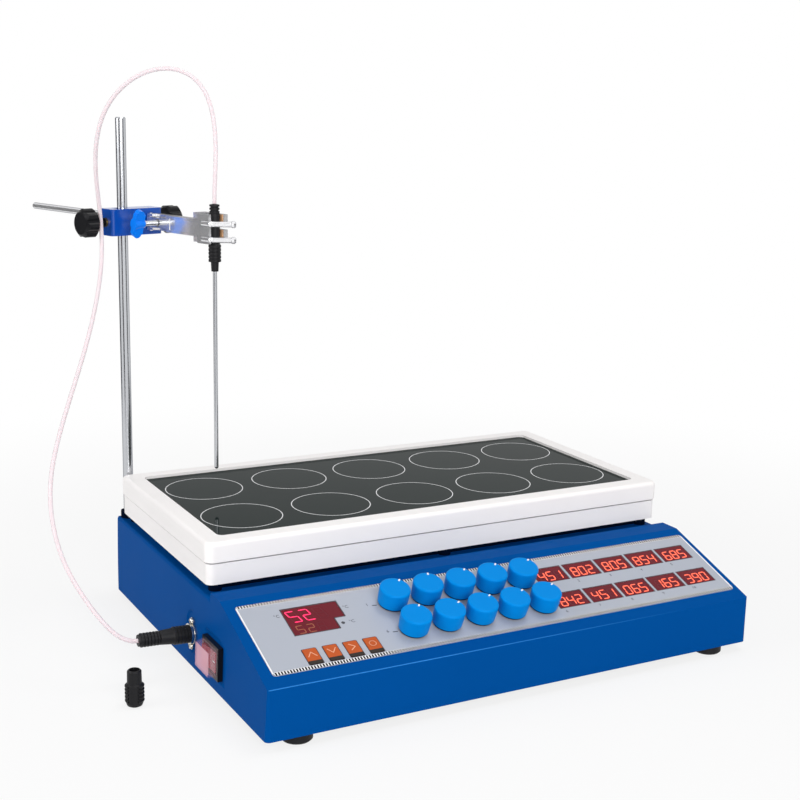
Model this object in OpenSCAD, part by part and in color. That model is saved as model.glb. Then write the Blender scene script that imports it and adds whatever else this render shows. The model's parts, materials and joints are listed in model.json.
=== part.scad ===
// Multi-position heated magnetic stirrer: a control console with ten stirring places under
// one glass hotplate, a support rod with a boss head and clamp, and a plugged-in temperature probe.
// Millimetres, +Z up. The origin is the middle of the console's footprint, on the bench.
// Most modules work from the console's front left bottom corner, which console_frame() places.

/* [Console] */
// Width of the console
console_w = 500; // [490:1:540]
// Depth of the console
console_d = 404; // [400:1:440]
// Height of the front wall above the console's bottom edge
front_h = 45; // [42:0.5:50]
// Depth of the sloping control face
slope_run = 108; // [106:0.5:112]
// Height of the crest behind the control face
crest_h = 83; // [81:0.5:87]
// Depth of the flat crest
crest_run = 22; // [18:0.5:26]
// Height of the rear deck
deck_h = 77; // [74:0.5:79]
// Thickness of the console's walls
wall_t = 3.5; // [3:0.1:4]
// Inward lean of the side walls, in degrees
side_lean = 1.9; // [0.5:0.1:2.5]
// Radius of the front upright corners
front_corner_r = 4.5; // [4:0.5:8]
// Radius of the back upright corners
back_corner_r = 12; // [10:0.5:16]
// Radius of the folds along the top
fold_r = 4; // [2:0.5:6]
// Thickness of the bottom plate
base_t = 1.5; // [1:0.1:2.5]

/* [Feet] */
// Height of a rubber foot
foot_h = 9; // [6:0.5:14]
// Diameter of a rubber foot
foot_dia = 27; // [18:0.5:28]
// Foot centre from the side of the console
foot_side = 34; // [26:0.5:44]
// Foot centre from the front and back of the console
foot_front = 16; // [15:0.5:40]

/* [Control face] */
// Thickness of the printed overlay
overlay_t = 0.8; // [0.5:0.1:1.2]
// Bare margin to the left of the overlay
overlay_left = 12; // [8:0.5:13]
// Bare margin to the right of the overlay
overlay_right = 7.5; // [7:0.5:13]
// Lower edge of the overlay, measured up the slope
overlay_low = 14; // [10:0.5:15]
// Upper edge of the overlay, measured up the slope
overlay_high = 103.5; // [100:0.5:105]
// Height of the lower row of read-outs up the slope
row_low = 40.5; // [38:0.5:43]
// Height of the lower row of knobs up the slope
knob_low = 38; // [36:0.5:40]
// Distance between the two rows, measured up the slope
row_pitch = 37; // [34:0.5:39]
// Clearance round what passes through the control face
panel_gap = 0.4; // [0.3:0.05:0.6]

/* [Speed knobs] */
// Diameter of a speed knob
knob_dia = 28; // [22:0.5:29]
// Height of a speed knob
knob_h = 17.5; // [12:0.5:20]
// Distance between neighbouring knobs
knob_pitch = 33.5; // [32:0.5:34]
// Centre of the first knob from the console's left side
knob_x = 149.5; // [147:0.5:151]
// How far the lower row of knobs stands to the right of the upper one
knob_shift = 2.5; // [0:0.5:3]
// Diameter of a knob's spindle
spindle_dia = 6; // [5:0.5:6.5]
// Radial running clearance of the turning spindles
run_gap = 0.05; // [0.02:0.01:0.08]

/* [Read-outs] */
// Width of a speed read-out
readout_w = 33; // [28:0.5:34]
// Height of a speed read-out up the slope
readout_l = 19.8; // [16:0.2:24]
// Distance between neighbouring speed read-outs
readout_pitch = 36.8; // [36:0.1:37.5]
// Left edge of the first speed read-out from the console's left side
readout_x = 301.5; // [300:0.5:304]
// Width of the temperature read-out's upper window
temp_w = 52; // [48:0.5:54]
// Width of its lower window
temp_low_w = 41.5; // [38:0.5:46]
// Height of the upper window
temp_l = 20; // [17:0.5:22]
// Height of the lower window
temp_low_l = 13.8; // [11:0.2:15]
// Left edge of the temperature read-out
temp_x = 48.8; // [44:0.2:54]

/* [Keys] */
// Width of a key
key_w = 12.3; // [10:0.1:14]
// Length of a key up the slope
key_l = 18.5; // [15:0.1:19]
// Distance between neighbouring keys
key_pitch = 18.8; // [17:0.1:20]
// Left edge of the first key
key_x = 46.5; // [40:0.1:50]
// Lower edge of the keys up the slope
key_low = 19; // [18:0.1:21]
// How far a key can be pressed
key_travel = 0.5; // [0.3:0.05:0.7]

/* [Hotplate] */
// Lower tray's side from the console's side
tray_side = 4.6; // [4:0.2:8]
// Lower tray's front from the console's front
tray_front = 141.6; // [140:0.2:144]
// Lower tray's back from the console's back
tray_back = 17; // [15:0.2:20]
// Radius of the tray's upright corners
tray_r = 7; // [6:0.5:13]
// Height of the plinth that carries the tray above the rear deck
plinth_h = 8.4; // [7:0.1:11]
// Height of the lower tray's outer wall
lower_h = 19; // [16:0.5:22]
// Shadow gap between the two trays
seam_gap = 1.5; // [0.6:0.1:1.8]
// Height of the upper tray
upper_h = 18.5; // [17:0.5:22]
// How far the upper tray stands out past the lower one
upper_out = 1.2; // [0.6:0.1:1.6]
// Wall thickness of both trays
tray_t = 3; // [2.5:0.1:3.4]
// Width of the rim round the glass
rim_w = 17.8; // [16:0.2:20]
// Rounding of the upper tray's top edge
rim_r = 4; // [2:0.5:5]
// Thickness of the glass plate
glass_t = 4; // [3:0.5:5]
// How far the glass lies below the rim
glass_sink = 2.6; // [1.5:0.1:4]
// Clearance round the glass
glass_gap = 0.3; // [0.2:0.05:0.6]
// Corner radius of the glass
glass_r = 6; // [3:0.5:9]
// Thickness of the heater plate bonded below the glass
heater_t = 3; // [2:0.5:4]

/* [Stirring places] */
// Places along the width
cols = 5; // [4:1:5]
// Places along the depth
rows = 2; // [1:1:2]
// Distance between places along the width
place_px = 92; // [86:1:94]
// Distance between places along the depth
place_py = 100; // [90:1:106]
// Diameter of a motor
motor_dia = 32; // [26:1:36]
// Height of a motor
motor_h = 30; // [24:1:34]
// Length of a magnet carrier
carrier_l = 46; // [36:1:52]
// Height of a magnet carrier
carrier_h = 7; // [5:0.5:8]
// Diameter of a drive shaft
shaft_dia = 4; // [3:0.5:5]
// Thickness of the motor deck
deck_t = 1.6; // [1.2:0.1:2.4]

/* [Support rod] */
// Diameter of the support rod
rod_dia = 10; // [8:0.5:10.5]
// Height of the rod's top above the console's bottom edge
rod_top = 482; // [460:1:520]
// Rod centre from the console's left side
rod_x = 13; // [12:0.1:13.5]
// Rod centre from the console's back
rod_back = 10; // [9:0.1:11]
// Diameter of the rod's socket
socket_dia = 16; // [15:0.5:18]
// Height of the socket above the rear deck
socket_up = 7.4; // [5:0.2:8]

/* [Boss head and clamp] */
// Height of the boss head's middle above the console's bottom edge
clamp_z = 381; // [360:1:400]
// Turn of the clamp arm away from straight back, in degrees
arm_turn = 16.3; // [12:0.1:20]
// Distance between the support rod and the clamp rod
arm_off = 28; // [24:0.5:29]
// Diameter of the clamp rod
arm_dia = 7; // [6:0.5:8]
// Length of the clamp rod behind the support rod
arm_back = 214; // [160:1:220]
// Distance from the support rod to the probe, along the clamp
probe_reach = 112.5; // [108:0.5:118]
// Depth of the boss head
boss_d = 22; // [20:0.5:24]
// Height of the boss head
boss_h = 26; // [22:0.5:30]
// Diameter of a star knob
star_dia = 28.5; // [22:0.5:30]
// Thickness of a star knob
star_t = 15; // [10:0.5:16]
// Span of the wing screw
wing_span = 28; // [24:0.5:34]

/* [Temperature probe] */
// Diameter of the probe's steel tube
tube_dia = 4; // [3:0.5:5]
// Height of the probe's tip above the glass
tip_gap = 25; // [20:1:40]
// Diameter of the probe's handle between the jaws
grip_dia = 10; // [9:0.5:12]
// Diameter of the sensor cable
cable_dia = 4; // [3.6:0.1:4.4]

/* [Side fittings] */
// Length of the power switch's frame along the side
switch_l = 38.5; // [37:0.5:41]
// Height of the power switch's frame
switch_h = 30; // [27:0.5:32]
// Middle of the switch from the console's front
switch_y = 119; // [117:0.5:121]
// Height of the middle of the switch
switch_z = 28.5; // [27:0.5:30]
// How far the rocker rocks, in degrees
rocker_swing = 19; // [14:1:20]
// Height of the clear cap over the rocker
cap_h = 7.6; // [6.5:0.1:9]
// Middle of the sensor socket from the console's front
port_y = 173; // [171:0.5:176]
// Height of the middle of the sensor socket
port_z = 31; // [30:0.5:34]
// Diameter of the cable plug
plug_dia = 16.4; // [14:0.2:17]
// Length of the cable plug with its boot
plug_l = 47; // [40:0.5:55]
// Depth of the recesses in the side wall
recess_d = 1.4; // [0.8:0.1:1.6]

/* [Hidden] */
$fn = 64;

// Distance kept between two pieces that touch through a moving joint.
slide_gap = 0.3;

slope_deg = atan2(crest_h - front_h, slope_run);
slope_len = norm([slope_run, crest_h - front_h]);
crest_y = slope_run + crest_run;
side_fold_r = fold_r * 0.75;

// Tray outline, from the console's front left corner.
tray_x0 = tray_side;
tray_x1 = console_w - tray_side;
tray_y0 = tray_front;
tray_y1 = console_d - tray_back;
tray_z = deck_h + plinth_h;
seam_z = tray_z + lower_h;
upper_z = seam_z + seam_gap;
rim_z = upper_z + upper_h;
glass_z = rim_z - glass_sink;
heater_z = glass_z - glass_t - heater_t;
hole_x0 = tray_x0 + rim_w - 1;
hole_x1 = tray_x1 - rim_w + 1;
hole_y0 = tray_y0 + rim_w - 1;
hole_y1 = tray_y1 - rim_w + 1;
ledge_w = 6;
ledge_t = 2.5;
ledge_z = glass_z - glass_t;

// Motors hang below the deck that lies on the lower tray's floor.
floor_t = 3;
motor_deck_z = tray_z + floor_t;
carrier_gap = 2.8;
carrier_w = 14;
magnet_dia = 10;
carrier_z = heater_z - carrier_gap - carrier_h;
places = [for (r = [0:rows - 1], c = [0:cols - 1])
    [console_w / 2 + (c - (cols - 1) / 2) * place_px,
    (hole_y0 + hole_y1) / 2 + ((rows - 1) / 2 - r) * place_py]];

// Opening in the rear deck that the motors hang through.
well_x0 = min([for (p = places) p[0]]) - motor_dia / 2 - 6;
well_x1 = max([for (p = places) p[0]]) + motor_dia / 2 + 6;
well_y0 = min([for (p = places) p[1]]) - motor_dia / 2 - 6;
well_y1 = max([for (p = places) p[1]]) + motor_dia / 2 + 6;

// Posts that join the trays to the plinth.
post_dia = 9;
post_in = 11;
screw_dia = 3;
screw_gap = 0.2;
tray_posts = [for (x = [tray_x0 + post_in, console_w / 2, tray_x1 - post_in])
    for (y = [tray_y0 + post_in, tray_y1 - post_in]) [x, y]];
post_joint_z = upper_z + 4;
plinth_in = 12;
plinth_ring = 12;
plinth_boss = 12;
head_dia = 6;
head_h = 2;

// Speed knobs, from the left, upper row first.
knob_places = [for (r = [1, 0], i = [0:4])
    [knob_x + (1 - r) * knob_shift + i * knob_pitch, knob_low + r * row_pitch]];
readout_places = [for (r = [1, 0], i = [0:4]) [readout_x + i * readout_pitch, row_low + r * row_pitch]];
knob_turns = [-43, -23, -42, -40, -50, -36, -65, -56, -60, -54];
knob_lift = overlay_t + 0.5;
knob_skirt = 1.6;
temp_top = row_low + row_pitch + 12.5;
window_r = 1.4;
key_r = 0.9;
board_h = -13;
board_t = 1.6;
board_in = 14;
board_low = 12;
board_high = 103;
board_post_dia = 6;
board_points = [[30, 60], [132, 97], [132, 22], [knob_x + 4 * knob_pitch + 12, 97],
    [knob_x + 4 * knob_pitch + 12, 22], [console_w - 30, 59]];
pot_s = 16;
pot_h = 8;
bush_dia = 8;
key_rise = 0.6;
key_root = -5;
key_flange = 1;
tact_s = 8;
tact_h = 5;
spindle_root = -11;
stem_dia = 4;

// Base plate fixings.
base_gap = 0.4;
base_boss_dia = 9;
base_points = [for (x = [wall_t + 9, console_w / 2, console_w - wall_t - 9])
    for (y = [wall_t + 9, console_d - wall_t - 9]) [x, y]];
base_boss_h = 12;
foot_points = [for (x = [foot_side, console_w - foot_side])
    for (y = [foot_front, console_d - foot_front]) [x, y]];
nib_dia = 6;
base_screw_l = 10;

// Side and back fittings.
pocket_slope = 2.2;
port_pocket = 30;
port_pocket_up = 7;
port_pocket_down = 3;
switch_pocket_r = 16;
switch_pocket_back_r = 6;
port_body_dia = 15;
switch_body_l = 35;
switch_body_h = 25.2;
inlet_x = 400;
inlet_z = 40;
inlet_w = 31;
inlet_h = 34;
inlet_low = -15;
inlet_flange = 2.5;
drawer_w = 22;
drawer_h = 9;
drawer_low = 8;
drawer_l = 24;
rocker_r = 15;
rocker_w = 19;
rocker_pivot = -4;
frame_out = 3.4;
cap_wall = 1;
cap_side = 1.2;
spare_x = -65.6;
spare_y = 132.9;
spare_dia = 16.8;
spare_h = 33;

rod_y = console_d - rod_back;
rod_foot_z = 24;
boss_left = 19;
boss_right = 39.5;
screw_shank = 6;
star_left = 33;
star_right = 50;
lever_t = 4;
lever_gap = 1;
bar_t = 6;
bar_h = 16;
lever_h = 10;
lever_wide_a = -45;
lever_b = arm_off - bar_t / 2 - lever_gap - lever_t;
boss_slot = 9;
pin_dia = 3;
yoke_h = 28;
finger_z = [10.2, -4.2];
finger_h = 7.4;
finger_t = 5;
finger_l = 27;
prong_dia = 5.4;
prong_z = [5.4, -9.4];
prong_l = 20;
prong_tip_r = 3.3;
jaw_t = 3;
jaw_l = 17.5;
wing_shank = 5;
wing_b = -8;
wing_rest = 18;
wing_hub = 12;
bar_front = probe_reach - 29;
pivot_a = -17;
wing_a = -31;
pad_t = 1;
pad_l = 9;
probe_top = clamp_z + 24;

// The cable leaves the plug square to the wall, climbs past the boss head between the star knob
// and the block, stands up in a loop and drops into the top of the probe's handle.
port_out = 3.4;
plug_tip = [for (s = [port_out + plug_l])
    [port_z * sin(side_lean) - s * cos(side_lean), port_y, port_z * cos(side_lean) + s * sin(side_lean)]][0];
probe_xy = [rod_x + probe_reach * sin(arm_turn) + arm_off * cos(arm_turn),
    rod_y - probe_reach * cos(arm_turn) + arm_off * sin(arm_turn)];
cable_route = [plug_tip, [-59, 173, 34], [-67, 175, 38], [-75, 180, 47], [-84, 188, 60],
    [-93, 198, 76], [-100, 211, 92], [-105, 224, 110], [-106, 239, 133], [-104, 252, 155],
    [-97, 266, 176], [-86, 281, 198], [-70, 301, 226], [-57, 316, 247], [-46, 329, 267],
    [-35, 343, 288], [-26, 355, 309], [-18, 368, 330], [-13, 376, 350], [-13, 378, 372],
    [-13, 379, 388], [-15, 378, 402], [-18, 374, 419], [-21, 367, 437], [-22, 361, 454],
    [-21, 355, 470], [-18, 350, 484], [-12, 345, 498], [-2, 340, 511], [10, 334, 521],
    [23, 329, 527], [36, 324, 529], [48, 320, 528], [58, 316, 523], [67, 311, 514], [73, 308, 501],
    [75, 303, 485], [75, 298, 467], [74, 295, 448], [72, 294, 428],
    [probe_xy[0], probe_xy[1], probe_top]];
cable_split_low = 12;
cable_split_top = 19;
cable_sides = 8;

module console_frame() {
    translate([-console_w / 2, -console_d / 2, foot_h]) children();
}

// Local frame on the control face: X along the console, Y up the slope, Z out of the face.
module face_frame() {
    console_frame() translate([0, 0, front_h]) rotate([slope_deg, 0, 0]) children();
}

// Local frame of the boss head: X away from the support rod towards the clamp rod, Y to the back.
module clamp_frame() {
    console_frame() translate([rod_x, rod_y, clamp_z]) rotate([0, 0, arm_turn]) children();
}

// Local frame on the left wall at a distance from the front: Z points out of the leaning wall.
module wall_frame(y, z) {
    console_frame() rotate([0, side_lean, 0]) translate([0, y, z]) rotate([0, -90, 0]) children();
}

// Local frame on the outside of the back wall: Z points to the back, X to the left, Y up.
module back_frame(x, z) {
    console_frame() translate([x, console_d, z]) rotate([-90, 180, 0]) children();
}

module rounded_rect(x0, y0, x1, y1, r) {
    translate([x0 + r, y0]) square([x1 - x0 - 2 * r, y1 - y0]);
    translate([x0, y0 + r]) square([x1 - x0, y1 - y0 - 2 * r]);
    for (x = [x0 + r, x1 - r], y = [y0 + r, y1 - r]) translate([x, y]) circle(r);
}

module rounded_block(x0, y0, x1, y1, r, z0, z1) {
    translate([0, 0, z0]) linear_extrude(z1 - z0) rounded_rect(x0, y0, x1, y1, r);
}

// Waste wedge that rounds a fold: the fold runs along Z at the origin, its two faces run off at
// the angles a0 and a1, and the solid lies between them.
module fold_waste(a0, a1, r, len) {
    half = (a1 - a0) / 2;
    mid = (a0 + a1) / 2;
    tangent = r / tan(half);
    out = 1;
    c = [cos(mid), sin(mid)] * r / sin(half);
    t0 = [cos(a0), sin(a0)] * tangent;
    t1 = [cos(a1), sin(a1)] * tangent;
    n0 = [sin(a0), -cos(a0)] * out;
    n1 = [-sin(a1), cos(a1)] * out;
    tip = -[cos(mid), sin(mid)] * out / sin(half);
    translate([0, 0, -out]) linear_extrude(len + 2 * out) difference() {
        polygon([c, t0, t0 + n0, tip, t1 + n1, t1]);
        translate(c) circle(r);
    }
}

// Side view of the console with its walls moved in by t.
module console_profile(t) {
    k = tan(slope_deg);
    drop = t / cos(slope_deg);
    polygon([[t, t == 0 ? 0 : -1], [t, front_h + t * k - drop],
        [(crest_h - t - front_h + drop) / k, crest_h - t], [crest_y - t, crest_h - t],
        [crest_y - t, deck_h - t], [console_d - t, deck_h - t], [console_d - t, t == 0 ? 0 : -1]]);
}

module side_trim(t) {
    for (m = [0, 1]) translate([m * console_w, 0, 0]) mirror([m, 0, 0])
        rotate([0, side_lean, 0]) translate([t - 40, -10, -20]) cube([40, console_d + 20, 140]);
}

// Block with the console's outline seen from above, moved in by t.
module footprint_block(t, z0, z1) {
    past = 60;
    intersection() {
        rounded_block(t, t, console_w - t, console_d + past, max(front_corner_r - t, 0.5), z0, z1);
        rounded_block(t, -past, console_w - t, console_d - t, back_corner_r - t, z0, z1);
    }
}

module console_block(t) {
    difference() {
        intersection() {
            translate([t, 0, 0]) rotate([90, 0, 90]) linear_extrude(console_w - 2 * t) console_profile(t);
            footprint_block(t, -2, crest_h + 2);
        }
        side_trim(t);
    }
}

// Rounds the long folds and the folds where the top meets the side walls.
module console_folds() {
    rotate([90, 0, 90]) {
        translate([0, front_h]) fold_waste(-90, slope_deg, fold_r, console_w);
        translate([slope_run, crest_h]) fold_waste(180 + slope_deg, 360, fold_r, console_w);
        translate([crest_y, crest_h]) fold_waste(180, 270, fold_r / 2, console_w);
        translate([console_d, deck_h]) fold_waste(180, 270, fold_r, console_w);
    }
    for (m = [0, 1]) translate([m * console_w, 0, 0]) mirror([m, 0, 0]) {
        translate([deck_h * tan(side_lean), crest_y + 1, deck_h]) rotate([-90, 0, 0])
            fold_waste(0, 90 + side_lean, side_fold_r, console_d - crest_y);
        translate([crest_h * tan(side_lean), 0, crest_h]) rotate([-90, 0, 0]) translate([0, 0, slope_run])
            fold_waste(0, 90 + side_lean, side_fold_r, crest_run - 1);
        translate([front_h * tan(side_lean), 0, front_h])
            rotate([slope_deg, 0, 0]) rotate([0, 0, -atan(tan(side_lean) * sin(slope_deg))])
                rotate([-90, 0, 0])
                    fold_waste(0, 90 + asin(sin(side_lean) * cos(slope_deg)), side_fold_r, slope_len);
    }
}

module base_bosses() {
    for (p = base_points) {
        wall_y = p[1] < console_d / 2 ? wall_t - 1 : console_d - wall_t + 1;
        translate([p[0], p[1], base_t]) cylinder(d = base_boss_dia, h = base_boss_h);
        translate([p[0] - 2, min(p[1], wall_y), base_t]) cube([4, abs(p[1] - wall_y), base_boss_h]);
    }
}

module rod_socket() {
    translate([rod_x, rod_y, rod_foot_z - 4])
        cylinder(d = socket_dia, h = deck_h + socket_up - rod_foot_z + 4);
}

module plinth() {
    difference() {
        tray_block(plinth_in, deck_h - 1, tray_z);
        tray_block(plinth_in + plinth_ring, deck_h - 2, tray_z + 1);
    }
    for (p = tray_posts) translate([p[0], p[1], deck_h - wall_t])
        cylinder(d = plinth_boss, h = plinth_h + wall_t);
}

// Block with the tray's outline moved in by d.
module tray_block(d, z0, z1) {
    rounded_block(tray_x0 + d, tray_y0 + d, tray_x1 - d, tray_y1 - d, max(tray_r - d, 2), z0, z1);
}

// Everything that passes through the control face, widened by g, from height h0 to h1.
module panel_openings(g, h0, h1) {
    translate([0, 0, h0]) linear_extrude(h1 - h0) {
        for (p = knob_places) translate(p) circle(d = bush_dia + 2 * g);
        for (p = readout_places) translate([p[0] - g, p[1] - readout_l / 2 - g])
            square([readout_w + 2 * g, readout_l + 2 * g]);
        temp_outline(g);
        for (i = [0:3]) key_outline(i, g);
    }
}

// The two windows of the temperature read-out, the lower one run a little into the upper one.
module temp_outline(g) {
    step_y = temp_top - temp_l;
    rounded_rect(temp_x - g, step_y - g, temp_x + temp_w + g, temp_top + g, window_r);
    rounded_rect(temp_x - g, step_y - temp_low_l - g, temp_x + temp_low_w + g, step_y + 1 + g, window_r);
}

module key_outline(i, g) {
    x = key_x + i * key_pitch;
    rounded_rect(x - g, key_low - g, x + key_w + g, key_low + key_l + g, key_r + g);
}

module board_posts() {
    for (p = board_points) translate([p[0], p[1], board_h])
        cylinder(d = board_post_dia, h = -board_h - wall_t / 2);
}

// Waste of a pressed recess with sloping sides, on the wall's surface: it reaches from a0 to a1 and
// is drawn along the other direction over len.
module recess_bar(a0, a1, len) {
    up = 10;
    rotate([90, 0, 0]) linear_extrude(len, center = true) polygon([[a0 + pocket_slope, -recess_d],
        [a1 - pocket_slope, -recess_d], [a1, 0], [a1, up], [a0, up], [a0, 0]]);
}

module recess_corner(r) {
    translate([0, 0, -recess_d]) cylinder(r1 = r - pocket_slope, r2 = r, h = recess_d);
    cylinder(r = r, h = 10);
}

// Recesses pressed into the left wall round the sensor socket and the power switch.
module side_recesses() {
    r = port_pocket / 2;
    wall_frame(port_y, port_z) {
        translate([(port_pocket_up - port_pocket_down) / 2, 0, 0]) rotate([0, 0, 90])
            recess_bar(-r, r, port_pocket_up + port_pocket_down);
        for (x = [-port_pocket_down, port_pocket_up]) translate([x, 0, 0]) recess_corner(r);
    }
    wall_frame(switch_y, switch_z) {
        low = -switch_h / 2 - 3.5;
        high = switch_h / 2 + 6;
        front = -switch_l / 2 - 8;
        back = switch_l / 2 + 3.5;
        rf = switch_pocket_r;
        rb = switch_pocket_back_r;
        intersection() {
            translate([0, (front + back) / 2, 0]) recess_bar(low, high, back - front);
            translate([(low + high) / 2, 0, 0]) rotate([0, 0, 90]) recess_bar(front, back, high - low);
            union() {
                translate([low, front, -5]) cube([high - rf - low, back - front, 20]);
                translate([low, front + rf, -5]) cube([high - low, back - rb - front - rf, 20]);
                translate([low, back - rb - 1, -5]) cube([high - rb - low, rb + 1, 20]);
            }
        }
        translate([high - rf, front + rf, 0]) recess_corner(rf);
        translate([high - rb, back - rb, 0]) recess_corner(rb);
    }
}

module housing_shell() {
    color([0.02, 0.3, 0.6]) difference() {
        union() {
            console_frame() {
                difference() {
                    console_block(0);
                    console_folds();
                    console_block(wall_t);
                }
                base_bosses();
                rod_socket();
                plinth();
            }
            face_frame() board_posts();
        }
        console_frame() {
            translate([rod_x, rod_y, rod_foot_z]) cylinder(d = rod_dia + 2 * run_gap, h = deck_h);
            rounded_block(well_x0, well_y0, well_x1, well_y1, 8, deck_h - wall_t - 1, deck_h + 1);
            for (p = tray_posts) translate([p[0], p[1], deck_h - wall_t - 1])
                cylinder(d = screw_dia + 2 * screw_gap, h = plinth_h + wall_t + 2);
            for (p = base_points) translate([p[0], p[1], 0]) cylinder(d = screw_dia, h = base_screw_l);
        }
        face_frame() panel_openings(panel_gap, -wall_t - 2, 5);
        side_recesses();
        wall_frame(port_y, port_z) translate([0, 0, -6]) cylinder(d = port_body_dia + 0.4, h = 8);
        wall_frame(switch_y, switch_z) translate([-switch_body_h / 2 - 0.2, -switch_body_l / 2 - 0.2, -6])
            cube([switch_body_h + 0.4, switch_body_l + 0.4, 8]);
        back_frame(inlet_x, inlet_z) translate([-inlet_w / 2 - 0.2, inlet_low - 0.2, -6])
            cube([inlet_w + 0.4, inlet_h + 0.4, 8]);
    }
}

module base_plate() {
    inset = wall_t + base_gap;
    color([0.25, 0.26, 0.28]) console_frame() difference() {
        footprint_block(inset, 0, base_t);
        for (p = base_points) translate([p[0], p[1], -1]) cylinder(d = screw_dia + 2 * screw_gap, h = 4);
        for (p = foot_points) translate([p[0], p[1], -1]) cylinder(d = nib_dia + 0.4, h = 4);
        for (x = [console_w / 2 - 140, console_w / 2 + 80], i = [0:7])
            translate([x + i * 8.5, console_d / 2 - 30, -1]) cube([3.5, 60, 4]);
    }
}

module base_screws() {
    color([0.7, 0.71, 0.73]) console_frame() for (p = base_points) translate([p[0], p[1], 0]) {
        translate([0, 0, -head_h]) cylinder(d = head_dia, h = head_h);
        cylinder(d = screw_dia, h = base_screw_l);
        // Head rounding ring, below the plate.
        translate([0, 0, -head_h - 0.4]) cylinder(d1 = head_dia - 2, d2 = head_dia, h = 0.4);
    }
}

// The screws of the base plate and those of the trays.
module case_screws() {
    base_screws();
    tray_screws();
}

module rubber_feet() {
    color([0.08, 0.08, 0.08]) console_frame() for (p = foot_points) translate([p[0], p[1], -foot_h]) {
        cylinder(d1 = foot_dia - 3, d2 = foot_dia, h = 1.5);
        translate([0, 0, 1.5]) cylinder(d = foot_dia, h = foot_h - 1.5);
        cylinder(d = nib_dia, h = foot_h + base_t + 0.3);
        translate([0, 0, foot_h + base_t]) cylinder(d1 = nib_dia + 2, d2 = nib_dia - 1, h = 3);
    }
}

module control_overlay() {
    color([0.72, 0.73, 0.77]) face_frame() difference() {
        rounded_block(overlay_left, overlay_low, console_w - overlay_right, overlay_high, 3, 0, overlay_t);
        panel_openings(panel_gap, -1, 3);
    }
}

module temperature_display() {
    color([0.25, 0.02, 0.03]) face_frame() translate([0, 0, board_h])
        linear_extrude(overlay_t - 0.2 - board_h) temp_outline(0);
}

module speed_displays() {
    color([0.3, 0.03, 0.04]) face_frame() for (p = readout_places)
        translate([p[0], p[1] - readout_l / 2, board_h])
            cube([readout_w, readout_l, overlay_t - 0.2 - board_h]);
}

module control_board() {
    color([0.05, 0.35, 0.15]) face_frame() {
        translate([board_in, board_low, board_h - board_t])
            cube([console_w - 2 * board_in, board_high - board_low, board_t]);
        for (i = [0:3]) translate([key_x + i * key_pitch + key_w / 2, key_low + key_l / 2, board_h])
            difference() {
                translate([-tact_s / 2, -tact_s / 2, 0]) cube([tact_s, tact_s, tact_h]);
                translate([0, 0, 1]) cylinder(d = stem_dia + 2 * run_gap, h = tact_h);
            }
    }
}

module speed_pots() {
    color([0.55, 0.56, 0.58]) face_frame() for (p = knob_places) translate([p[0], p[1], board_h])
        difference() {
            union() {
                translate([-pot_s / 2, -pot_s / 2, 0]) cube([pot_s, pot_s, pot_h]);
                cylinder(d = bush_dia, h = overlay_t + 0.2 - board_h);
            }
            translate([0, 0, 1]) cylinder(d = spindle_dia + 2 * run_gap, h = 40);
        }
}

// A key: cap, flange under the face, and a stem that slides in the switch on the board.
module key(i) {
    color([0.86, 0.4, 0.15]) face_frame() {
        translate([0, 0, key_root + 1]) linear_extrude(overlay_t + key_rise - key_root - 1) key_outline(i, 0);
        translate([0, 0, key_root]) linear_extrude(1) key_outline(i, key_flange);
        translate([key_x + i * key_pitch + key_w / 2, key_low + key_l / 2, board_h + 1 + key_travel + slide_gap])
            cylinder(d = stem_dia, h = key_root - board_h - 1 - key_travel - slide_gap + 0.5);
    }
}

module up_key() {
    key(0);
}

module down_key() {
    key(1);
}

module shift_key() {
    key(2);
}

module set_key() {
    key(3);
}

// A knob: cap with a rounded edge, a narrower skirt below it, a raised mark and the spindle.
module speed_knob(i) {
    p = knob_places[i];
    r = knob_dia / 2;
    color([0, 0.55, 0.88]) face_frame() translate([p[0], p[1], 0]) rotate([0, 0, knob_turns[i]]) {
        translate([0, 0, knob_lift]) rotate_extrude() {
            polygon([[0, 0], [r - 1.5, 0], [r - 1.5, knob_skirt], [r - 0.6, knob_skirt],
                [r, knob_h - 2], [r - 1.2, knob_h], [0, knob_h]]);
            translate([r - 1.2, knob_h - 1.2]) circle(1.2);
        }
        translate([0, 0, spindle_root]) cylinder(d = spindle_dia, h = knob_lift + 1 - spindle_root);
        translate([-0.7, r - 3.4, knob_lift + knob_h - 1]) cube([1.4, 2.4, 1.3]);
    }
}

module speed_knob_1() {
    speed_knob(0);
}

module speed_knob_2() {
    speed_knob(1);
}

module speed_knob_3() {
    speed_knob(2);
}

module speed_knob_4() {
    speed_knob(3);
}

module speed_knob_5() {
    speed_knob(4);
}

module speed_knob_6() {
    speed_knob(5);
}

module speed_knob_7() {
    speed_knob(6);
}

module speed_knob_8() {
    speed_knob(7);
}

module speed_knob_9() {
    speed_knob(8);
}

module speed_knob_10() {
    speed_knob(9);
}

// A drive: shaft, clamped hub and a bar with a round magnet in each end.
module stir_drive(i) {
    p = places[i];
    color([0.78, 0.78, 0.8]) console_frame() translate([p[0], p[1], 0]) {
        translate([0, 0, carrier_z]) difference() {
            rounded_block(-carrier_l / 2, -carrier_w / 2, carrier_l / 2, carrier_w / 2, carrier_w / 2 - 0.5,
                0, carrier_h);
            for (m = [-1, 1]) translate([m * (carrier_l / 2 - carrier_w / 2), 0, carrier_h - 4])
                cylinder(d = magnet_dia + 0.1, h = 5);
        }
        for (m = [-1, 1]) translate([m * (carrier_l / 2 - carrier_w / 2), 0, carrier_z + carrier_h - 4])
            cylinder(d = magnet_dia, h = 4);
        translate([0, 0, carrier_z - 4]) cylinder(d = 10, h = 4);
        translate([0, 0, motor_deck_z - 14])
            cylinder(d = shaft_dia, h = carrier_z + carrier_h - 3 - motor_deck_z + 14);
    }
}

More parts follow.
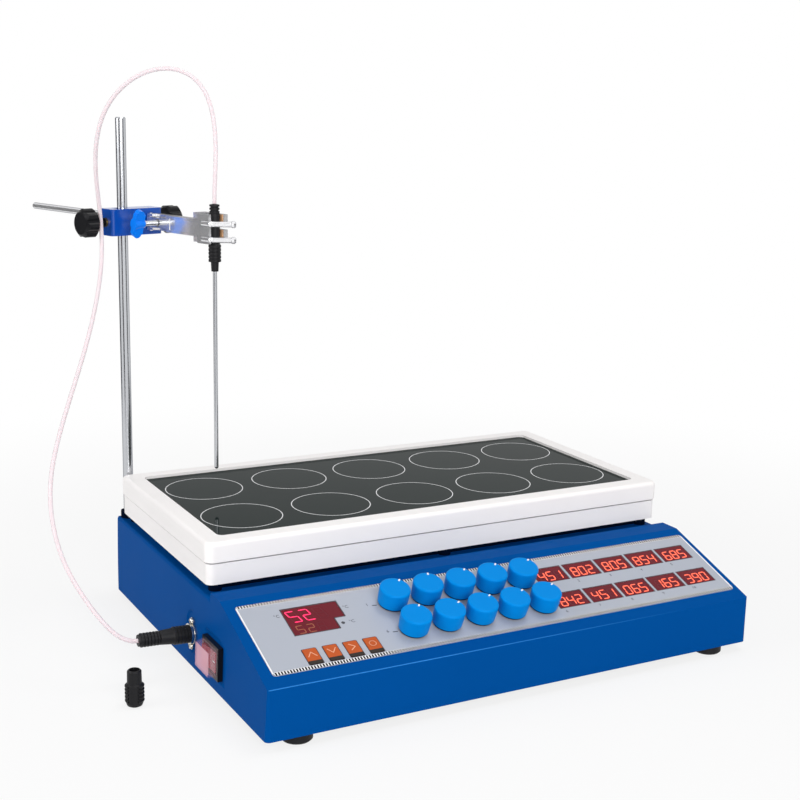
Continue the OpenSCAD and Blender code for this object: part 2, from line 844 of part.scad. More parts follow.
module stir_drive_1() {
    stir_drive(0);
}

module stir_drive_2() {
    stir_drive(1);
}

module stir_drive_3() {
    stir_drive(2);
}

module stir_drive_4() {
    stir_drive(3);
}

module stir_drive_5() {
    stir_drive(4);
}

module stir_drive_6() {
    stir_drive(5);
}

module stir_drive_7() {
    stir_drive(6);
}

module stir_drive_8() {
    stir_drive(7);
}

module stir_drive_9() {
    stir_drive(8);
}

module stir_drive_10() {
    stir_drive(9);
}

module stir_motors() {
    color([0.6, 0.61, 0.63]) console_frame() for (p = places) translate([p[0], p[1], motor_deck_z])
        difference() {
            union() {
                translate([0, 0, -motor_h]) cylinder(d = motor_dia, h = motor_h);
                translate([0, 0, -motor_h - 2]) cylinder(d = 10, h = 2.5);
            }
            translate([0, 0, -15]) cylinder(d = shaft_dia + 2 * run_gap, h = 20);
        }
}

module motor_deck() {
    inset = tray_t + post_in + post_dia / 2 - 1;
    color([0.75, 0.76, 0.78]) console_frame() difference() {
        tray_block(inset, motor_deck_z, motor_deck_z + deck_t);
        for (p = places) translate([p[0], p[1], motor_deck_z - 1]) cylinder(d = shaft_dia + 1, h = deck_t + 2);
    }
}

module lower_tray() {
    color([0.93, 0.93, 0.92]) console_frame() difference() {
        union() {
            difference() {
                tray_block(0, tray_z, seam_z);
                tray_block(tray_t, tray_z + floor_t, seam_z + 1);
            }
            for (p = tray_posts) translate([p[0], p[1], tray_z + 1])
                cylinder(d = post_dia, h = post_joint_z - tray_z - 1);
        }
        for (p = places) translate([p[0], p[1], tray_z - 1]) cylinder(d = motor_dia + 1, h = floor_t + 2);
        for (p = tray_posts) translate([p[0], p[1], tray_z - 1])
            cylinder(d = screw_dia + 2 * screw_gap, h = post_joint_z - tray_z + 2);
    }
}

// The upper tray: an outer wall with a rounded top edge, a rim and a ledge that carries the glass.
module upper_tray() {
    o = upper_out;
    color([0.95, 0.95, 0.94]) console_frame() difference() {
        union() {
            difference() {
                tray_block(-o, upper_z, rim_z);
                rim_rounding();
                tray_block(tray_t - o, upper_z - 1, ledge_z - ledge_t);
                rounded_block(hole_x0, hole_y0, hole_x1, hole_y1, glass_r, ledge_z, rim_z + 1);
                rounded_block(hole_x0 + ledge_w, hole_y0 + ledge_w, hole_x1 - ledge_w, hole_y1 - ledge_w, glass_r,
                    upper_z, rim_z + 1);
            }
            for (p = tray_posts) translate([p[0], p[1], post_joint_z])
                cylinder(d = post_dia, h = ledge_z - ledge_t - post_joint_z + 1);
        }
        for (p = tray_posts) translate([p[0], p[1], post_joint_z - 1]) cylinder(d = screw_dia, h = 9);
    }
}

// Waste that rounds the upper tray's top edge along its sides and round its corners.
module rim_rounding() {
    o = upper_out;
    r = tray_r + o;
    x0 = tray_x0 - o;
    x1 = tray_x1 + o;
    y0 = tray_y0 - o;
    y1 = tray_y1 + o;
    for (e = [[x0, y0 + r, -90, y1 - y0 - 2 * r], [x1, y1 - r, 90, y1 - y0 - 2 * r],
        [x0 + r, y1, 180, x1 - x0 - 2 * r], [x1 - r, y0, 0, x1 - x0 - 2 * r]])
        translate([e[0], e[1], rim_z]) rotate([0, 0, e[2]]) rotate([0, -90, 0]) linear_extrude(e[3])
            rim_section();
    for (c = [[x0 + r, y0 + r, 180], [x1 - r, y0 + r, 270], [x1 - r, y1 - r, 0], [x0 + r, y1 - r, 90]])
        translate([c[0], c[1], rim_z]) rotate([0, 0, c[2]]) rotate_extrude(angle = 90)
            translate([r, 0]) rotate([0, 0, 90]) rim_section();
}

// Corner waste with the fold at the origin: X towards the top face's outside, Y into the tray.
module rim_section() {
    difference() {
        translate([-rim_r, -1]) square([rim_r + 1, rim_r + 1]);
        translate([-rim_r, rim_r]) circle(rim_r);
    }
}

module tray_screws() {
    low = deck_h - wall_t;
    color([0.7, 0.71, 0.73]) console_frame() for (p = tray_posts) translate([p[0], p[1], low]) {
        translate([0, 0, -head_h]) cylinder(d = head_dia, h = head_h);
        cylinder(d = screw_dia, h = post_joint_z + 7 - low);
    }
}

module glass_plate() {
    g = glass_gap;
    color([0.02, 0.06, 0.05]) console_frame()
        rounded_block(hole_x0 + g, hole_y0 + g, hole_x1 - g, hole_y1 - g, glass_r, glass_z - glass_t, glass_z);
}

module heater_plate() {
    g = ledge_w + 1;
    color([0.7, 0.7, 0.72]) console_frame() difference() {
        rounded_block(hole_x0 + g, hole_y0 + g, hole_x1 - g, hole_y1 - g, glass_r, heater_z,
            glass_z - glass_t);
        // Channels for the heating wire, in the underside.
        for (i = [0:8]) translate([hole_x0 + 20, hole_y0 + 22 + i * (hole_y1 - hole_y0 - 44) / 8, heater_z - 1])
            translate([0, -1.5, 0]) cube([hole_x1 - hole_x0 - 40, 3, 2]);
    }
}

module support_rod() {
    low = rod_foot_z + slide_gap;
    color([0.75, 0.76, 0.78]) console_frame() translate([rod_x, rod_y, 0]) {
        translate([0, 0, low]) cylinder(d = rod_dia, h = rod_top - 1 - low);
        translate([0, 0, rod_top - 1]) cylinder(d1 = rod_dia, d2 = rod_dia - 2, h = 1);
    }
}

// The boss head: a block with an open slot for the support rod and a bore for the clamp rod.
module boss_head() {
    color([0.01, 0.2, 0.5]) clamp_frame() difference() {
        rounded_block(-boss_left, -boss_d / 2, boss_right, boss_d / 2, 3, -boss_h / 2, boss_h / 2);
        translate([0, 0, -boss_h]) linear_extrude(2 * boss_h) {
            circle(d = rod_dia + 2 * run_gap);
            translate([-boss_slot, -rod_dia / 2 - run_gap]) square([boss_slot, rod_dia + 2 * run_gap]);
        }
        translate([arm_off, boss_d, 0]) rotate([90, 0, 0]) cylinder(d = arm_dia + 2 * run_gap, h = 2 * boss_d);
        translate([-boss_left - 1, 0, 0]) rotate([0, 90, 0])
            cylinder(d = screw_shank + 2 * run_gap, h = boss_left);
        translate([arm_off, 0, 0]) rotate([0, 90, 0])
            cylinder(d = screw_shank + 2 * run_gap, h = boss_right - arm_off + 1);
    }
}

// Star knob with seven lobes and rounded edges, standing on the XY plane.
module star_knob() {
    r = star_dia / 2;
    intersection() {
        linear_extrude(star_t) {
            circle(r - 2.6);
            for (i = [0:6]) rotate([0, 0, i * 360 / 7]) translate([r - 4.4, 0]) circle(4.4);
        }
        rotate_extrude() polygon([[0, 0], [r - 2.5, 0], [r, 2], [r, star_t - 3], [r - 3.5, star_t], [0, star_t]]);
    }
}

// The clamping screw that holds the boss head on the support rod.
module rod_screw() {
    color([0.06, 0.06, 0.07]) clamp_frame() rotate([0, -90, 0]) {
        translate([0, 0, rod_dia / 2 + slide_gap]) cylinder(d = screw_shank, h = star_left - rod_dia / 2);
        translate([0, 0, boss_left + slide_gap]) cylinder(d = screw_shank + 3, h = 3);
        translate([0, 0, star_left]) star_knob();
    }
}

// The clamping screw that holds the clamp rod in the boss head.
module arm_screw() {
    tip = arm_off + arm_dia / 2 + slide_gap;
    color([0.06, 0.06, 0.07]) clamp_frame() rotate([0, 90, 0]) {
        translate([0, 0, tip]) cylinder(d = screw_shank, h = star_right - tip + 1);
        translate([0, 0, boss_right + slide_gap]) cylinder(d = screw_shank + 3, h = 3);
        translate([0, 0, star_right]) star_knob();
    }
}

// The clamp: rod, flat bar, yoke and the two flat fingers of the fixed jaw.
module clamp_arm() {
    bar_rear = -boss_d / 2 - 2;
    finger_b = arm_off + grip_dia / 2 + pad_t;
    color([0.78, 0.79, 0.81]) clamp_frame() {
        difference() {
            union() {
                translate([arm_off, arm_back, 0]) rotate([90, 0, 0])
                    cylinder(d = arm_dia, h = arm_back - bar_rear + 2);
                translate([arm_off - bar_t / 2, -bar_front, -bar_h / 2])
                    cube([bar_t, bar_front + bar_rear, bar_h]);
                translate([lever_b + 0.5, pivot_a - 4.5, bar_h / 2 - 2.5])
                    cube([arm_off - lever_b, 9, 2.5]);
                translate([lever_b + 0.5, pivot_a - 4.5, -bar_h / 2]) cube([arm_off - lever_b, 9, 2.5]);
            }
            translate([arm_off - bar_t, wing_a, 0]) rotate([0, 90, 0])
                cylinder(d = wing_shank + 2 * run_gap, h = 2 * bar_t);
        }
        // Pivot pin of the moving jaw.
        translate([lever_b + lever_t / 2, pivot_a, -bar_h / 2 - 0.8]) cylinder(d = pin_dia, h = bar_h + 1.6);
        // Yoke across the front of the bar.
        translate([arm_off - bar_t / 2, -bar_front - 9, -yoke_h / 2])
            cube([finger_b + finger_t - arm_off + bar_t / 2, 9.5, yoke_h]);
        for (z = finger_z) translate([finger_b, -bar_front - 8 - finger_l, z - finger_h / 2])
            cube([finger_t, finger_l, finger_h]);
    }
}

// The moving jaw: a bar with a sunk panel, a head plate and two prongs bent round the probe's handle.
module moving_jaw() {
    head_b = arm_off - grip_dia / 2 - slide_gap - jaw_t;
    head_a = -bar_front - 13;
    prong_b = head_b + jaw_t - prong_dia / 2 - 0.4;
    bend_a = head_a - jaw_l - 4;
    color([0.76, 0.77, 0.79]) clamp_frame() {
        difference() {
            union() {
                translate([lever_b, lever_wide_a - 1, -lever_h / 2])
                    cube([lever_t, pivot_a + 5 - lever_wide_a, lever_h]);
                translate([lever_b, head_a - 3, -bar_h / 2]) cube([lever_t, lever_wide_a - head_a + 3, bar_h]);
                translate([head_b, head_a - jaw_l, -yoke_h / 2]) cube([jaw_t, jaw_l, yoke_h]);
            }
            translate([lever_b + lever_t / 2, pivot_a, -lever_h])
                cylinder(d = pin_dia + 2 * run_gap, h = 2 * lever_h);
            translate([lever_b - 1, wing_a, 0]) rotate([0, 90, 0])
                cylinder(d = wing_shank + 2.4, h = lever_t + 2);
            translate([lever_b - 1, head_a + 10, -bar_h / 2 + 2.5]) cube([1.6, 36, bar_h - 5]);
        }
        for (z = prong_z) {
            translate([prong_b, head_a - 9, z]) rotate([90, 0, 0]) cylinder(d = prong_dia, h = jaw_l - 5);
            translate([prong_b, bend_a, z]) {
                rotate([90, 0, 22.5]) sphere(d = prong_dia + 0.6);
                rotate([90, 0, 45]) cylinder(d = prong_dia, h = prong_l);
                rotate([90, 0, 45]) translate([0, 0, prong_l - 1]) rotate_extrude() polygon([[0, 0],
                    [prong_tip_r - 0.8, 0], [prong_tip_r, 0.8], [prong_tip_r, 3.2], [prong_tip_r - 1, 4.4],
                    [0, 4.4]]);
            }
        }
    }
}

module wing_screw() {
    color([0, 0.47, 0.92]) clamp_frame() translate([0, wing_a, 0]) rotate([0, 90, 0])
        rotate([0, 0, wing_rest]) {
        translate([0, 0, wing_b]) cylinder(d1 = 11, d2 = 8, h = wing_hub);
        translate([0, 0, wing_b + wing_hub - 1])
            cylinder(d = wing_shank, h = arm_off + bar_t / 2 - wing_b - wing_hub + 1);
        for (m = [-1, 1]) intersection() {
            translate([m > 0 ? 0 : -wing_span / 2, -2.8, wing_b]) cube([wing_span / 2, 5.6, wing_hub - 1.5]);
            rotate([90, 0, 0]) linear_extrude(10, center = true) union() {
                translate([m > 0 ? 0 : -wing_span / 2 + 4, wing_b])
                    square([wing_span / 2 - 4, wing_hub - 1.5]);
                translate([m * (wing_span / 2 - 4.2), wing_b + 5]) circle(4.2);
            }
        }
    }
}

module jaw_pads() {
    color([0.7, 0.5, 0.3]) clamp_frame() for (z = finger_z)
        translate([arm_off + grip_dia / 2, -probe_reach - pad_l / 2, z - finger_h / 2])
            cube([pad_t, pad_l, finger_h]);
}

module probe_tube() {
    tip = glass_z + tip_gap;
    top = clamp_z - 38;
    color([0.72, 0.73, 0.75]) console_frame() translate([probe_xy[0], probe_xy[1], 0]) {
        translate([0, 0, tip + tube_dia / 2]) cylinder(d = tube_dia, h = top - tip - tube_dia / 2);
        translate([0, 0, tip + tube_dia / 2]) sphere(d = tube_dia);
    }
}

// The probe's handle: a lower taper, a ribbed collar, the part the jaws hold and a ribbed relief.
module probe_grip() {
    r = grip_dia / 2;
    color([0.07, 0.07, 0.08]) console_frame() translate([probe_xy[0], probe_xy[1], clamp_z]) difference() {
        rotate_extrude() polygon(concat(
            [[0, -40], [r - 1.6, -40], [r - 1.2, -31], [r, -31]],
            [for (i = [0:4], q = [0:3]) [q == 1 || q == 2 ? r + 1 : r + 0.5, -31 + i * 3.4 + [0, 0.3, 2.4, 2.7][q]]],
            [[r, -14], [r, 15]],
            [for (i = [0:2], q = [0:3]) [q == 1 || q == 2 ? r - 0.2 : r - 1.2, 15 + i * 3 + [0, 0.3, 2, 2.3][q]]],
            [[0, 24]]));
        translate([0, 0, -41]) cylinder(d = tube_dia, h = 3);
    }
}

function unit(v) = v / norm(v);

function route_dir(i) = i == 0 ? [-cos(side_lean), 0, sin(side_lean)]
    : i == len(cable_route) - 1 ? [0, 0, -1]
    : unit(unit(cable_route[i + 1] - cable_route[i]) + unit(cable_route[i] - cable_route[i - 1]));

function square_to(v, dir) = unit(v - dir * (v * dir));

// Side directions carried along the route without twist.
function route_sides(i = 0, v = [0, 1, 0]) = i == len(cable_route) ? []
    : concat([square_to(v, route_dir(i))], route_sides(i + 1, square_to(v, route_dir(i))));

// Stretch of the sensor cable between two points of its route.
module cable_stretch(i0, i1) {
    sides = route_sides();
    n = cable_sides;
    rings = i1 - i0 + 1;
    r = cable_dia / 2;
    points = [for (i = [i0:i1], k = [0:n - 1]) cable_route[i]
        + r * cos(360 * k / n) * sides[i] + r * sin(360 * k / n) * cross(route_dir(i), sides[i])];
    walls = [for (i = [0:rings - 2], k = [0:n - 1])
        for (q = [0, 1]) let(a = i * n + k, b = i * n + (k + 1) % n)
            q == 0 ? [a, b + n, b] : [a, a + n, b + n]];
    console_frame() polyhedron(points, concat(walls, [[for (k = [0:n - 1]) k]],
        [[for (k = [n - 1:-1:0]) (rings - 1) * n + k]]));
}

module cable_lower() {
    color([0.93, 0.88, 0.88]) cable_stretch(0, cable_split_low);
}

module cable_middle() {
    color([0.93, 0.88, 0.88]) cable_stretch(cable_split_low, cable_split_top);
}

module cable_upper() {
    color([0.93, 0.88, 0.88]) cable_stretch(cable_split_top, len(cable_route) - 1);
}

// The cable's plug: nose, ribbed sleeve and ribbed boot, along the outside of the wall.
module cable_plug() {
    r = plug_dia / 2;
    color([0.07, 0.07, 0.08]) wall_frame(port_y, port_z) rotate_extrude() polygon(concat(
        [[0, -8], [5, -8], [5, port_out], [r, port_out]],
        [for (i = [0:4], q = [0:3]) [q == 1 || q == 2 ? r : r - 0.7, port_out + 0.6 + i * 3 + [0, 0.4, 1.9, 2.3][q]]],
        [[r - 1, port_out + 16.5], [r - 1.8, port_out + 27]],
        [for (i = [0:5], q = [0:3]) [q == 1 || q == 2 ? r - 1.8 : r - 2.7,
            port_out + 28 + i * 3 + [0, 0.4, 1.9, 2.3][q]]],
        [[r - 2.9, port_out + plug_l], [0, port_out + plug_l]]));
}

module sensor_socket() {
    low = -recess_d;
    color([0.7, 0.71, 0.73]) wall_frame(port_y, port_z) {
        difference() {
            union() {
                translate([0, 0, low]) linear_extrude(2) {
                    circle(d = 20);
                    translate([-12, -4]) square([24, 8]);
                    for (m = [-1, 1]) translate([m * 11, 0]) circle(4);
                }
                translate([0, 0, low + 1]) cylinder(d = 19, h = port_out - low - 1);
                translate([0, 0, -16]) cylinder(d = port_body_dia, h = 17 + low);
            }
            translate([0, 0, -12]) cylinder(d = 10.2, h = 20);
        }
        for (m = [-1, 1]) translate([m * 12, 0, low + 2]) cylinder(d1 = 5, d2 = 3.6, h = 1.4);
    }
}

// The switch's frame and the box behind it, open for the rocker.
module power_switch() {
    w = rocker_r + 0.3;
    h = rocker_w / 2 + 0.3;
    color([0.05, 0.05, 0.05]) wall_frame(switch_y, switch_z) difference() {
        union() {
            translate([-switch_h / 2, -switch_l / 2, -recess_d])
                cube([switch_h, switch_l, frame_out + recess_d]);
            translate([-switch_body_h / 2, -switch_body_l / 2, -15])
                cube([switch_body_h, switch_body_l, 15]);
            for (y = [-11, 0, 11]) translate([-3, y - 0.5, -23]) cube([6, 1, 9]);
        }
        translate([-h, -w, -13.5]) cube([2 * h, 2 * w, 20]);
        translate([-h - 1, 0, rocker_pivot]) rotate([0, 90, 0]) cylinder(d = pin_dia + 2 * run_gap, h = 2 * h + 2);
    }
}

// The rocker: two faces that meet in a valley, drawn level and then tipped to one side.
module power_rocker() {
    half = rocker_swing / 2;
    valley = (frame_out - rocker_pivot) / cos(half);
    color([0.75, 0.08, 0.1]) wall_frame(switch_y, switch_z) translate([0, 0, rocker_pivot]) {
        rotate([half, 0, 0]) translate([-rocker_w / 2, 0, 0]) rotate([90, 0, 90]) linear_extrude(rocker_w)
            intersection() {
                circle(rocker_r);
                polygon([[0, valley], [40, valley + 40 * tan(half)], [40, -5], [-40, -5],
                    [-40, valley + 40 * tan(half)]]);
            }
        translate([-rocker_w / 2 - 1, 0, 0]) rotate([0, 90, 0]) cylinder(d = pin_dia, h = rocker_w + 2);
    }
}

// Block that narrows by cap_side at each side from z = 0 to z = h.
module cap_block(half_x, half_y, h) {
    intersection() {
        rotate([90, 0, 0]) linear_extrude(2 * half_y, center = true)
            polygon([[-half_x, 0], [half_x, 0], [half_x - cap_side, h], [cap_side - half_x, h]]);
        rotate([90, 0, 90]) linear_extrude(2 * half_x, center = true)
            polygon([[-half_y, 0], [half_y, 0], [half_y - cap_side, h], [cap_side - half_y, h]]);
    }
}

// The clear soft cap over the rocker, standing on the switch's frame.
module switch_cap() {
    half_x = rocker_w / 2 + 2.6;
    half_y = rocker_r + 1.6;
    color([0.85, 0.8, 0.84]) wall_frame(switch_y, switch_z) translate([0, 0, frame_out]) difference() {
        cap_block(half_x, half_y, cap_h);
        translate([0, 0, -0.01]) cap_block(half_x - cap_wall, half_y - cap_wall, cap_h - cap_wall);
    }
}

module mains_inlet() {
    color([0.07, 0.07, 0.07]) back_frame(inlet_x, inlet_z) difference() {
        union() {
            translate([-inlet_w / 2 - 5, inlet_low - 4, 0]) cube([inlet_w + 10, inlet_h + 8, inlet_flange]);
            translate([-inlet_w / 2, inlet_low, -28]) cube([inlet_w, inlet_h, 29]);
        }
        difference() {
            translate([-12.2, inlet_low + 2.5, -15]) cube([24.4, 17, 20]);
            for (m = [-1, 1]) translate([m * 12.2, inlet_low + 2.5 + 17, -16]) rotate([0, 0, 45])
                translate([-3, -3, 0]) cube([6, 6, 22]);
            for (x = [-7, 0, 7]) translate([x - 1, inlet_low + (x == 0 ? 11 : 7), -16]) cube([2, 4, 14]);
        }
        translate([-drawer_w / 2 - 0.1, drawer_low - 0.1, -drawer_l]) cube([drawer_w + 0.2, drawer_h + 0.2, 40]);
    }
}

// A drawer that holds the fuse, with a finger edge at its front.
module fuse_drawer() {
    color([0.1, 0.1, 0.1]) back_frame(inlet_x, inlet_z) difference() {
        union() {
            translate([-drawer_w / 2, drawer_low, slide_gap - drawer_l])
                cube([drawer_w, drawer_h, drawer_l - slide_gap + inlet_flange]);
            translate([-4, drawer_low + drawer_h - 2, inlet_flange]) cube([8, 2, 1.5]);
        }
        translate([-drawer_w / 2 + 1.5, drawer_low + 1.5, 3 - drawer_l])
            cube([drawer_w - 3, drawer_h, drawer_l - 4]);
    }
}

// The loose plug: a rounded foot, a sleeve with ribs on two sides and a narrower neck.
module spare_plug() {
    r = spare_dia / 2;
    rib_low = 4.5;
    rib_pitch = 3.3;
    neck_z = rib_low + 5 * rib_pitch;
    color([0.08, 0.08, 0.08]) console_frame() translate([spare_x, spare_y, -foot_h]) difference() {
        union() {
            rotate_extrude() polygon([[0, 0], [r - 4, 0], [r - 1.8, 1.2], [r - 1, 3.4], [r - 1, neck_z - 1],
                [r - 2, neck_z], [r - 2.2, spare_h - 1.2], [r - 3.2, spare_h], [0, spare_h]]);
            for (m = [0, 180]) rotate([0, 0, m - 28 - 55]) rotate_extrude(angle = 110) for (i = [0:4])
                polygon([[r - 2, rib_low + i * rib_pitch], [r - 0.8, rib_low + i * rib_pitch],
                    [r, rib_low + 0.8 + i * rib_pitch], [r, rib_low + 1.6 + i * rib_pitch],
                    [r - 0.8, rib_low + 2.4 + i * rib_pitch], [r - 2, rib_low + 2.4 + i * rib_pitch]]);
        }
        translate([0, 0, spare_h - 12]) cylinder(d = spare_dia - 8, h = 20);
    }
}

housing_shell();
base_plate();
case_screws();
rubber_feet();
control_overlay();
temperature_display();
speed_displays();
control_board();
speed_pots();
up_key();
down_key();
shift_key();
set_key();
speed_knob_1();
speed_knob_2();
speed_knob_3();
speed_knob_4();
speed_knob_5();
speed_knob_6();
speed_knob_7();
speed_knob_8();
speed_knob_9();
speed_knob_10();
stir_drive_1();
stir_drive_2();
stir_drive_3();
stir_drive_4();
stir_drive_5();
stir_drive_6();
stir_drive_7();
stir_drive_8();
stir_drive_9();
stir_drive_10();
stir_motors();
motor_deck();
lower_tray();
upper_tray();
glass_plate();
heater_plate();
support_rod();
boss_head();
rod_screw();
arm_screw();
clamp_arm();
moving_jaw();
wing_screw();
jaw_pads();
probe_tube();
probe_grip();
cable_lower();
cable_middle();
cable_upper();
cable_plug();
sensor_socket();
power_switch();
power_rocker();
switch_cap();
mains_inlet();
fuse_drawer();
spare_plug();
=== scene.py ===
# Looks of a multi-position heated magnetic stirrer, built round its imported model.
# Lengths are millimetres in each piece's own frame, and frames turn them into metres.
import json
import math

import bmesh
import bpy
from mathutils import Matrix, Vector


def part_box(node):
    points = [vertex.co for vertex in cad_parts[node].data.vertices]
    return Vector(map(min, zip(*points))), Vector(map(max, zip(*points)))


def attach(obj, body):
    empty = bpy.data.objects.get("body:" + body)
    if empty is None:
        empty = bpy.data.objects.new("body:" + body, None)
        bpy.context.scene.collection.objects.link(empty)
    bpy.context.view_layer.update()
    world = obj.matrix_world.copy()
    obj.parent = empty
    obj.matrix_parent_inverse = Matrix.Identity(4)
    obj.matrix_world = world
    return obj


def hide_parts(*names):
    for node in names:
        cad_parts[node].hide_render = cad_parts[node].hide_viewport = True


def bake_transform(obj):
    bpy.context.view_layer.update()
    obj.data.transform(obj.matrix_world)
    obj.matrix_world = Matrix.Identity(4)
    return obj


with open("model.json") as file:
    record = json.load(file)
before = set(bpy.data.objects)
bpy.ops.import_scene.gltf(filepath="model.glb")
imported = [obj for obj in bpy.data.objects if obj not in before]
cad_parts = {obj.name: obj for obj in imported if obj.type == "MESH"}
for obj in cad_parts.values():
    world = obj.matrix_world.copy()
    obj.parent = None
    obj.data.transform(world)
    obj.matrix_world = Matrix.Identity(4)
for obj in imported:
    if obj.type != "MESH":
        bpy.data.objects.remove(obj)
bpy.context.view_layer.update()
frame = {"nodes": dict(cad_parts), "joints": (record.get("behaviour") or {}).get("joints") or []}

MM = 0.001

# Console, measured from its front left bottom corner.
FRONT_H = 45.0
CONSOLE_D = 404.0
CREST_Y = 130.0
DECK_H = 77.0
TRAY_Z = 85.4
SIDE_LEAN = 1.9
OVERLAY_T = 0.8
OVERLAY_X = (12.0, 492.5)
OVERLAY_U = (14.0, 103.5)
WINDOW_TOP = 0.6

# Support rod, boss head and clamp.
ROD_X = 13.0
ROD_Y = 394.0
CLAMP_Z = 381.0
ARM_TURN = 16.3
ARM_OFF = 28.0

# Glass and its places.
GLASS_Z = 121.8
PLACE_COLUMNS = 5
PLACE_ROWS = 2
PLACE_PITCH = (92.0, 100.0)
PLACE_MIDDLE = (250.0, 264.3)

ROD_CENTRE = (-0.237, 0.192)

# Side and back fittings.
PORT = (173.0, 31.0)
SWITCH = (119.0, 28.5)
INLET = (400.0, 40.0)


def turned(degrees, axis):
    return Matrix.Rotation(math.radians(degrees), 4, axis)


def moved(x, y, z):
    return Matrix.Translation((x, y, z))


joints = {j["name"]: j for j in frame["joints"]}
knob_axis = Vector(joints["knob_1_turn"]["axis"])
SLOPE = math.degrees(math.atan2(-knob_axis.y, knob_axis.z))
corner = Matrix.Translation(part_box("housing_shell")[0]) @ Matrix.Scale(MM, 4)
face = corner @ moved(0, 0, FRONT_H) @ turned(SLOPE, "X")
clamp = corner @ moved(ROD_X, ROD_Y, CLAMP_Z) @ turned(ARM_TURN, "Z")
back = corner @ moved(INLET[0], CONSOLE_D, INLET[1]) @ turned(180, "Y") @ turned(-90, "X")


def wall_frame(y, z):
    """Frame on the leaning left wall: X up the wall, Y to the back, Z out of the wall."""
    return corner @ turned(SIDE_LEAN, "Y") @ moved(0, y, z) @ turned(-90, "Y")


def link(name, data):
    """A new object in the scene."""
    made = bpy.data.objects.new(name, data)
    bpy.context.scene.collection.objects.link(made)
    return made


# Camera

CAMERA_PLACE = (-0.6482, -1.1475, 0.5146)
CAMERA_TURN = 28.496
CAMERA_DIP = 12.292
CAMERA_ROLL = 1.198
LENS = 62.36


def make_camera():
    data = bpy.data.cameras.new("viewpoint")
    data.lens = LENS
    data.sensor_width = 36.0
    camera = link("viewpoint", data)
    camera.matrix_world = (
        Matrix.Translation(CAMERA_PLACE)
        @ turned(-CAMERA_TURN, "Z")
        @ turned(90 - CAMERA_DIP, "X")
        @ turned(CAMERA_ROLL, "Z")
    )
    bpy.context.scene.camera = camera


# Shader groups shared by the finishes


def linear(red, green, blue):
    """A colour given as 0 to 255 on a screen, in the linear values that shaders take."""
    channels = [c / 255 for c in (red, green, blue)]
    return tuple(
        c / 12.92 if c <= 0.04045 else ((c + 0.055) / 1.055) ** 2.4 for c in channels
    ) + (1.0,)


def add_node(tree, kind, settings, inputs):
    """A node with its settings and its inputs, each a value or another node's socket."""
    node = tree.nodes.new(kind)
    for key, value in (settings or {}).items():
        setattr(node, key, value)
    for label, value in inputs.items():
        key = int(label[1:]) if label[0] == "i" and label[1:].isdigit() else label.replace("_", " ")
        socket = node.inputs[key]
        if isinstance(value, bpy.types.NodeSocket):
            tree.links.new(value, socket)
        else:
            socket.default_value = value
    return node


class Tree:
    """A node tree that is filled by named calls."""

    def node(self, kind, settings=None, **inputs):
        """A node of the tree. i0, i1 and so on are inputs by number, the others go by name."""
        return add_node(self.tree, kind, settings, inputs)

    def maths(self, operation, *values):
        inputs = {f"i{k}": value for k, value in enumerate(values)}
        return self.node("ShaderNodeMath", {"operation": operation}, **inputs).outputs[0]

    def vector_maths(self, operation, first, second):
        return self.node("ShaderNodeVectorMath", {"operation": operation}, i0=first, i1=second).outputs

    def mix(self, mask, first, second):
        return self.node("ShaderNodeMix", {"data_type": "RGBA"}, i0=mask, i6=first, i7=second).outputs[2]


class Group(Tree):
    """A shader node group with named inputs and outputs."""

    def __init__(self, name, inputs, outputs):
        self.tree = bpy.data.node_groups.new(name, "ShaderNodeTree")
        for label, kind, value in inputs:
            socket = self.tree.interface.new_socket(
                label, in_out="INPUT", socket_type="NodeSocket" + kind
            )
            if value is not None:
                socket.default_value = value
        for label, kind in outputs:
            self.tree.interface.new_socket(
                label, in_out="OUTPUT", socket_type="NodeSocket" + kind
            )
        self.given = self.tree.nodes.new("NodeGroupInput").outputs
        self.result = self.tree.nodes.new("NodeGroupOutput").inputs

    def put(self, label, socket):
        self.tree.links.new(socket, self.result[label])


def tone_drift_group():
    """Slow, slight lightening and darkening of a colour across a surface."""
    group = Group(
        "tone_drift",
        [
            ("Place", "Vector", None), ("Colour", "Color", None), ("Amount", "Float", 0.05),
            ("Scale", "Float", 10.0),
        ],
        [("Colour", "Color")],
    )
    noise = group.node(
        "ShaderNodeTexNoise", Vector=group.given["Place"], Scale=group.given["Scale"], Detail=3.0
    )
    swing = group.maths("SUBTRACT", noise.outputs["Fac"], 0.5)
    gain = group.maths("MULTIPLY", swing, group.given["Amount"])
    value = group.maths("MULTIPLY_ADD", gain, 2.0, 1.0)
    tinted = group.node("ShaderNodeHueSaturation", Value=value, Color=group.given["Colour"])
    group.put("Colour", tinted.outputs["Color"])
    return group.tree


def fine_grain_group():
    """Small relief of paint, moulded plastic or rubber, with an uneven shine."""
    group = Group(
        "fine_grain",
        [
            ("Place", "Vector", None), ("Scale", "Float", 800.0), ("Roughness", "Float", 0.4),
            ("Spread", "Float", 0.1),
        ],
        [("Height", "Float"), ("Roughness", "Float")],
    )
    fine = group.node(
        "ShaderNodeTexNoise", Vector=group.given["Place"], Scale=group.given["Scale"], Detail=2.0
    )
    broad = group.node("ShaderNodeTexNoise", Vector=group.given["Place"], Scale=24.0, Detail=4.0)
    swing = group.maths("SUBTRACT", broad.outputs["Fac"], 0.5)
    group.put("Height", fine.outputs["Fac"])
    group.put(
        "Roughness", group.maths("MULTIPLY_ADD", swing, group.given["Spread"], group.given["Roughness"])
    )
    return group.tree


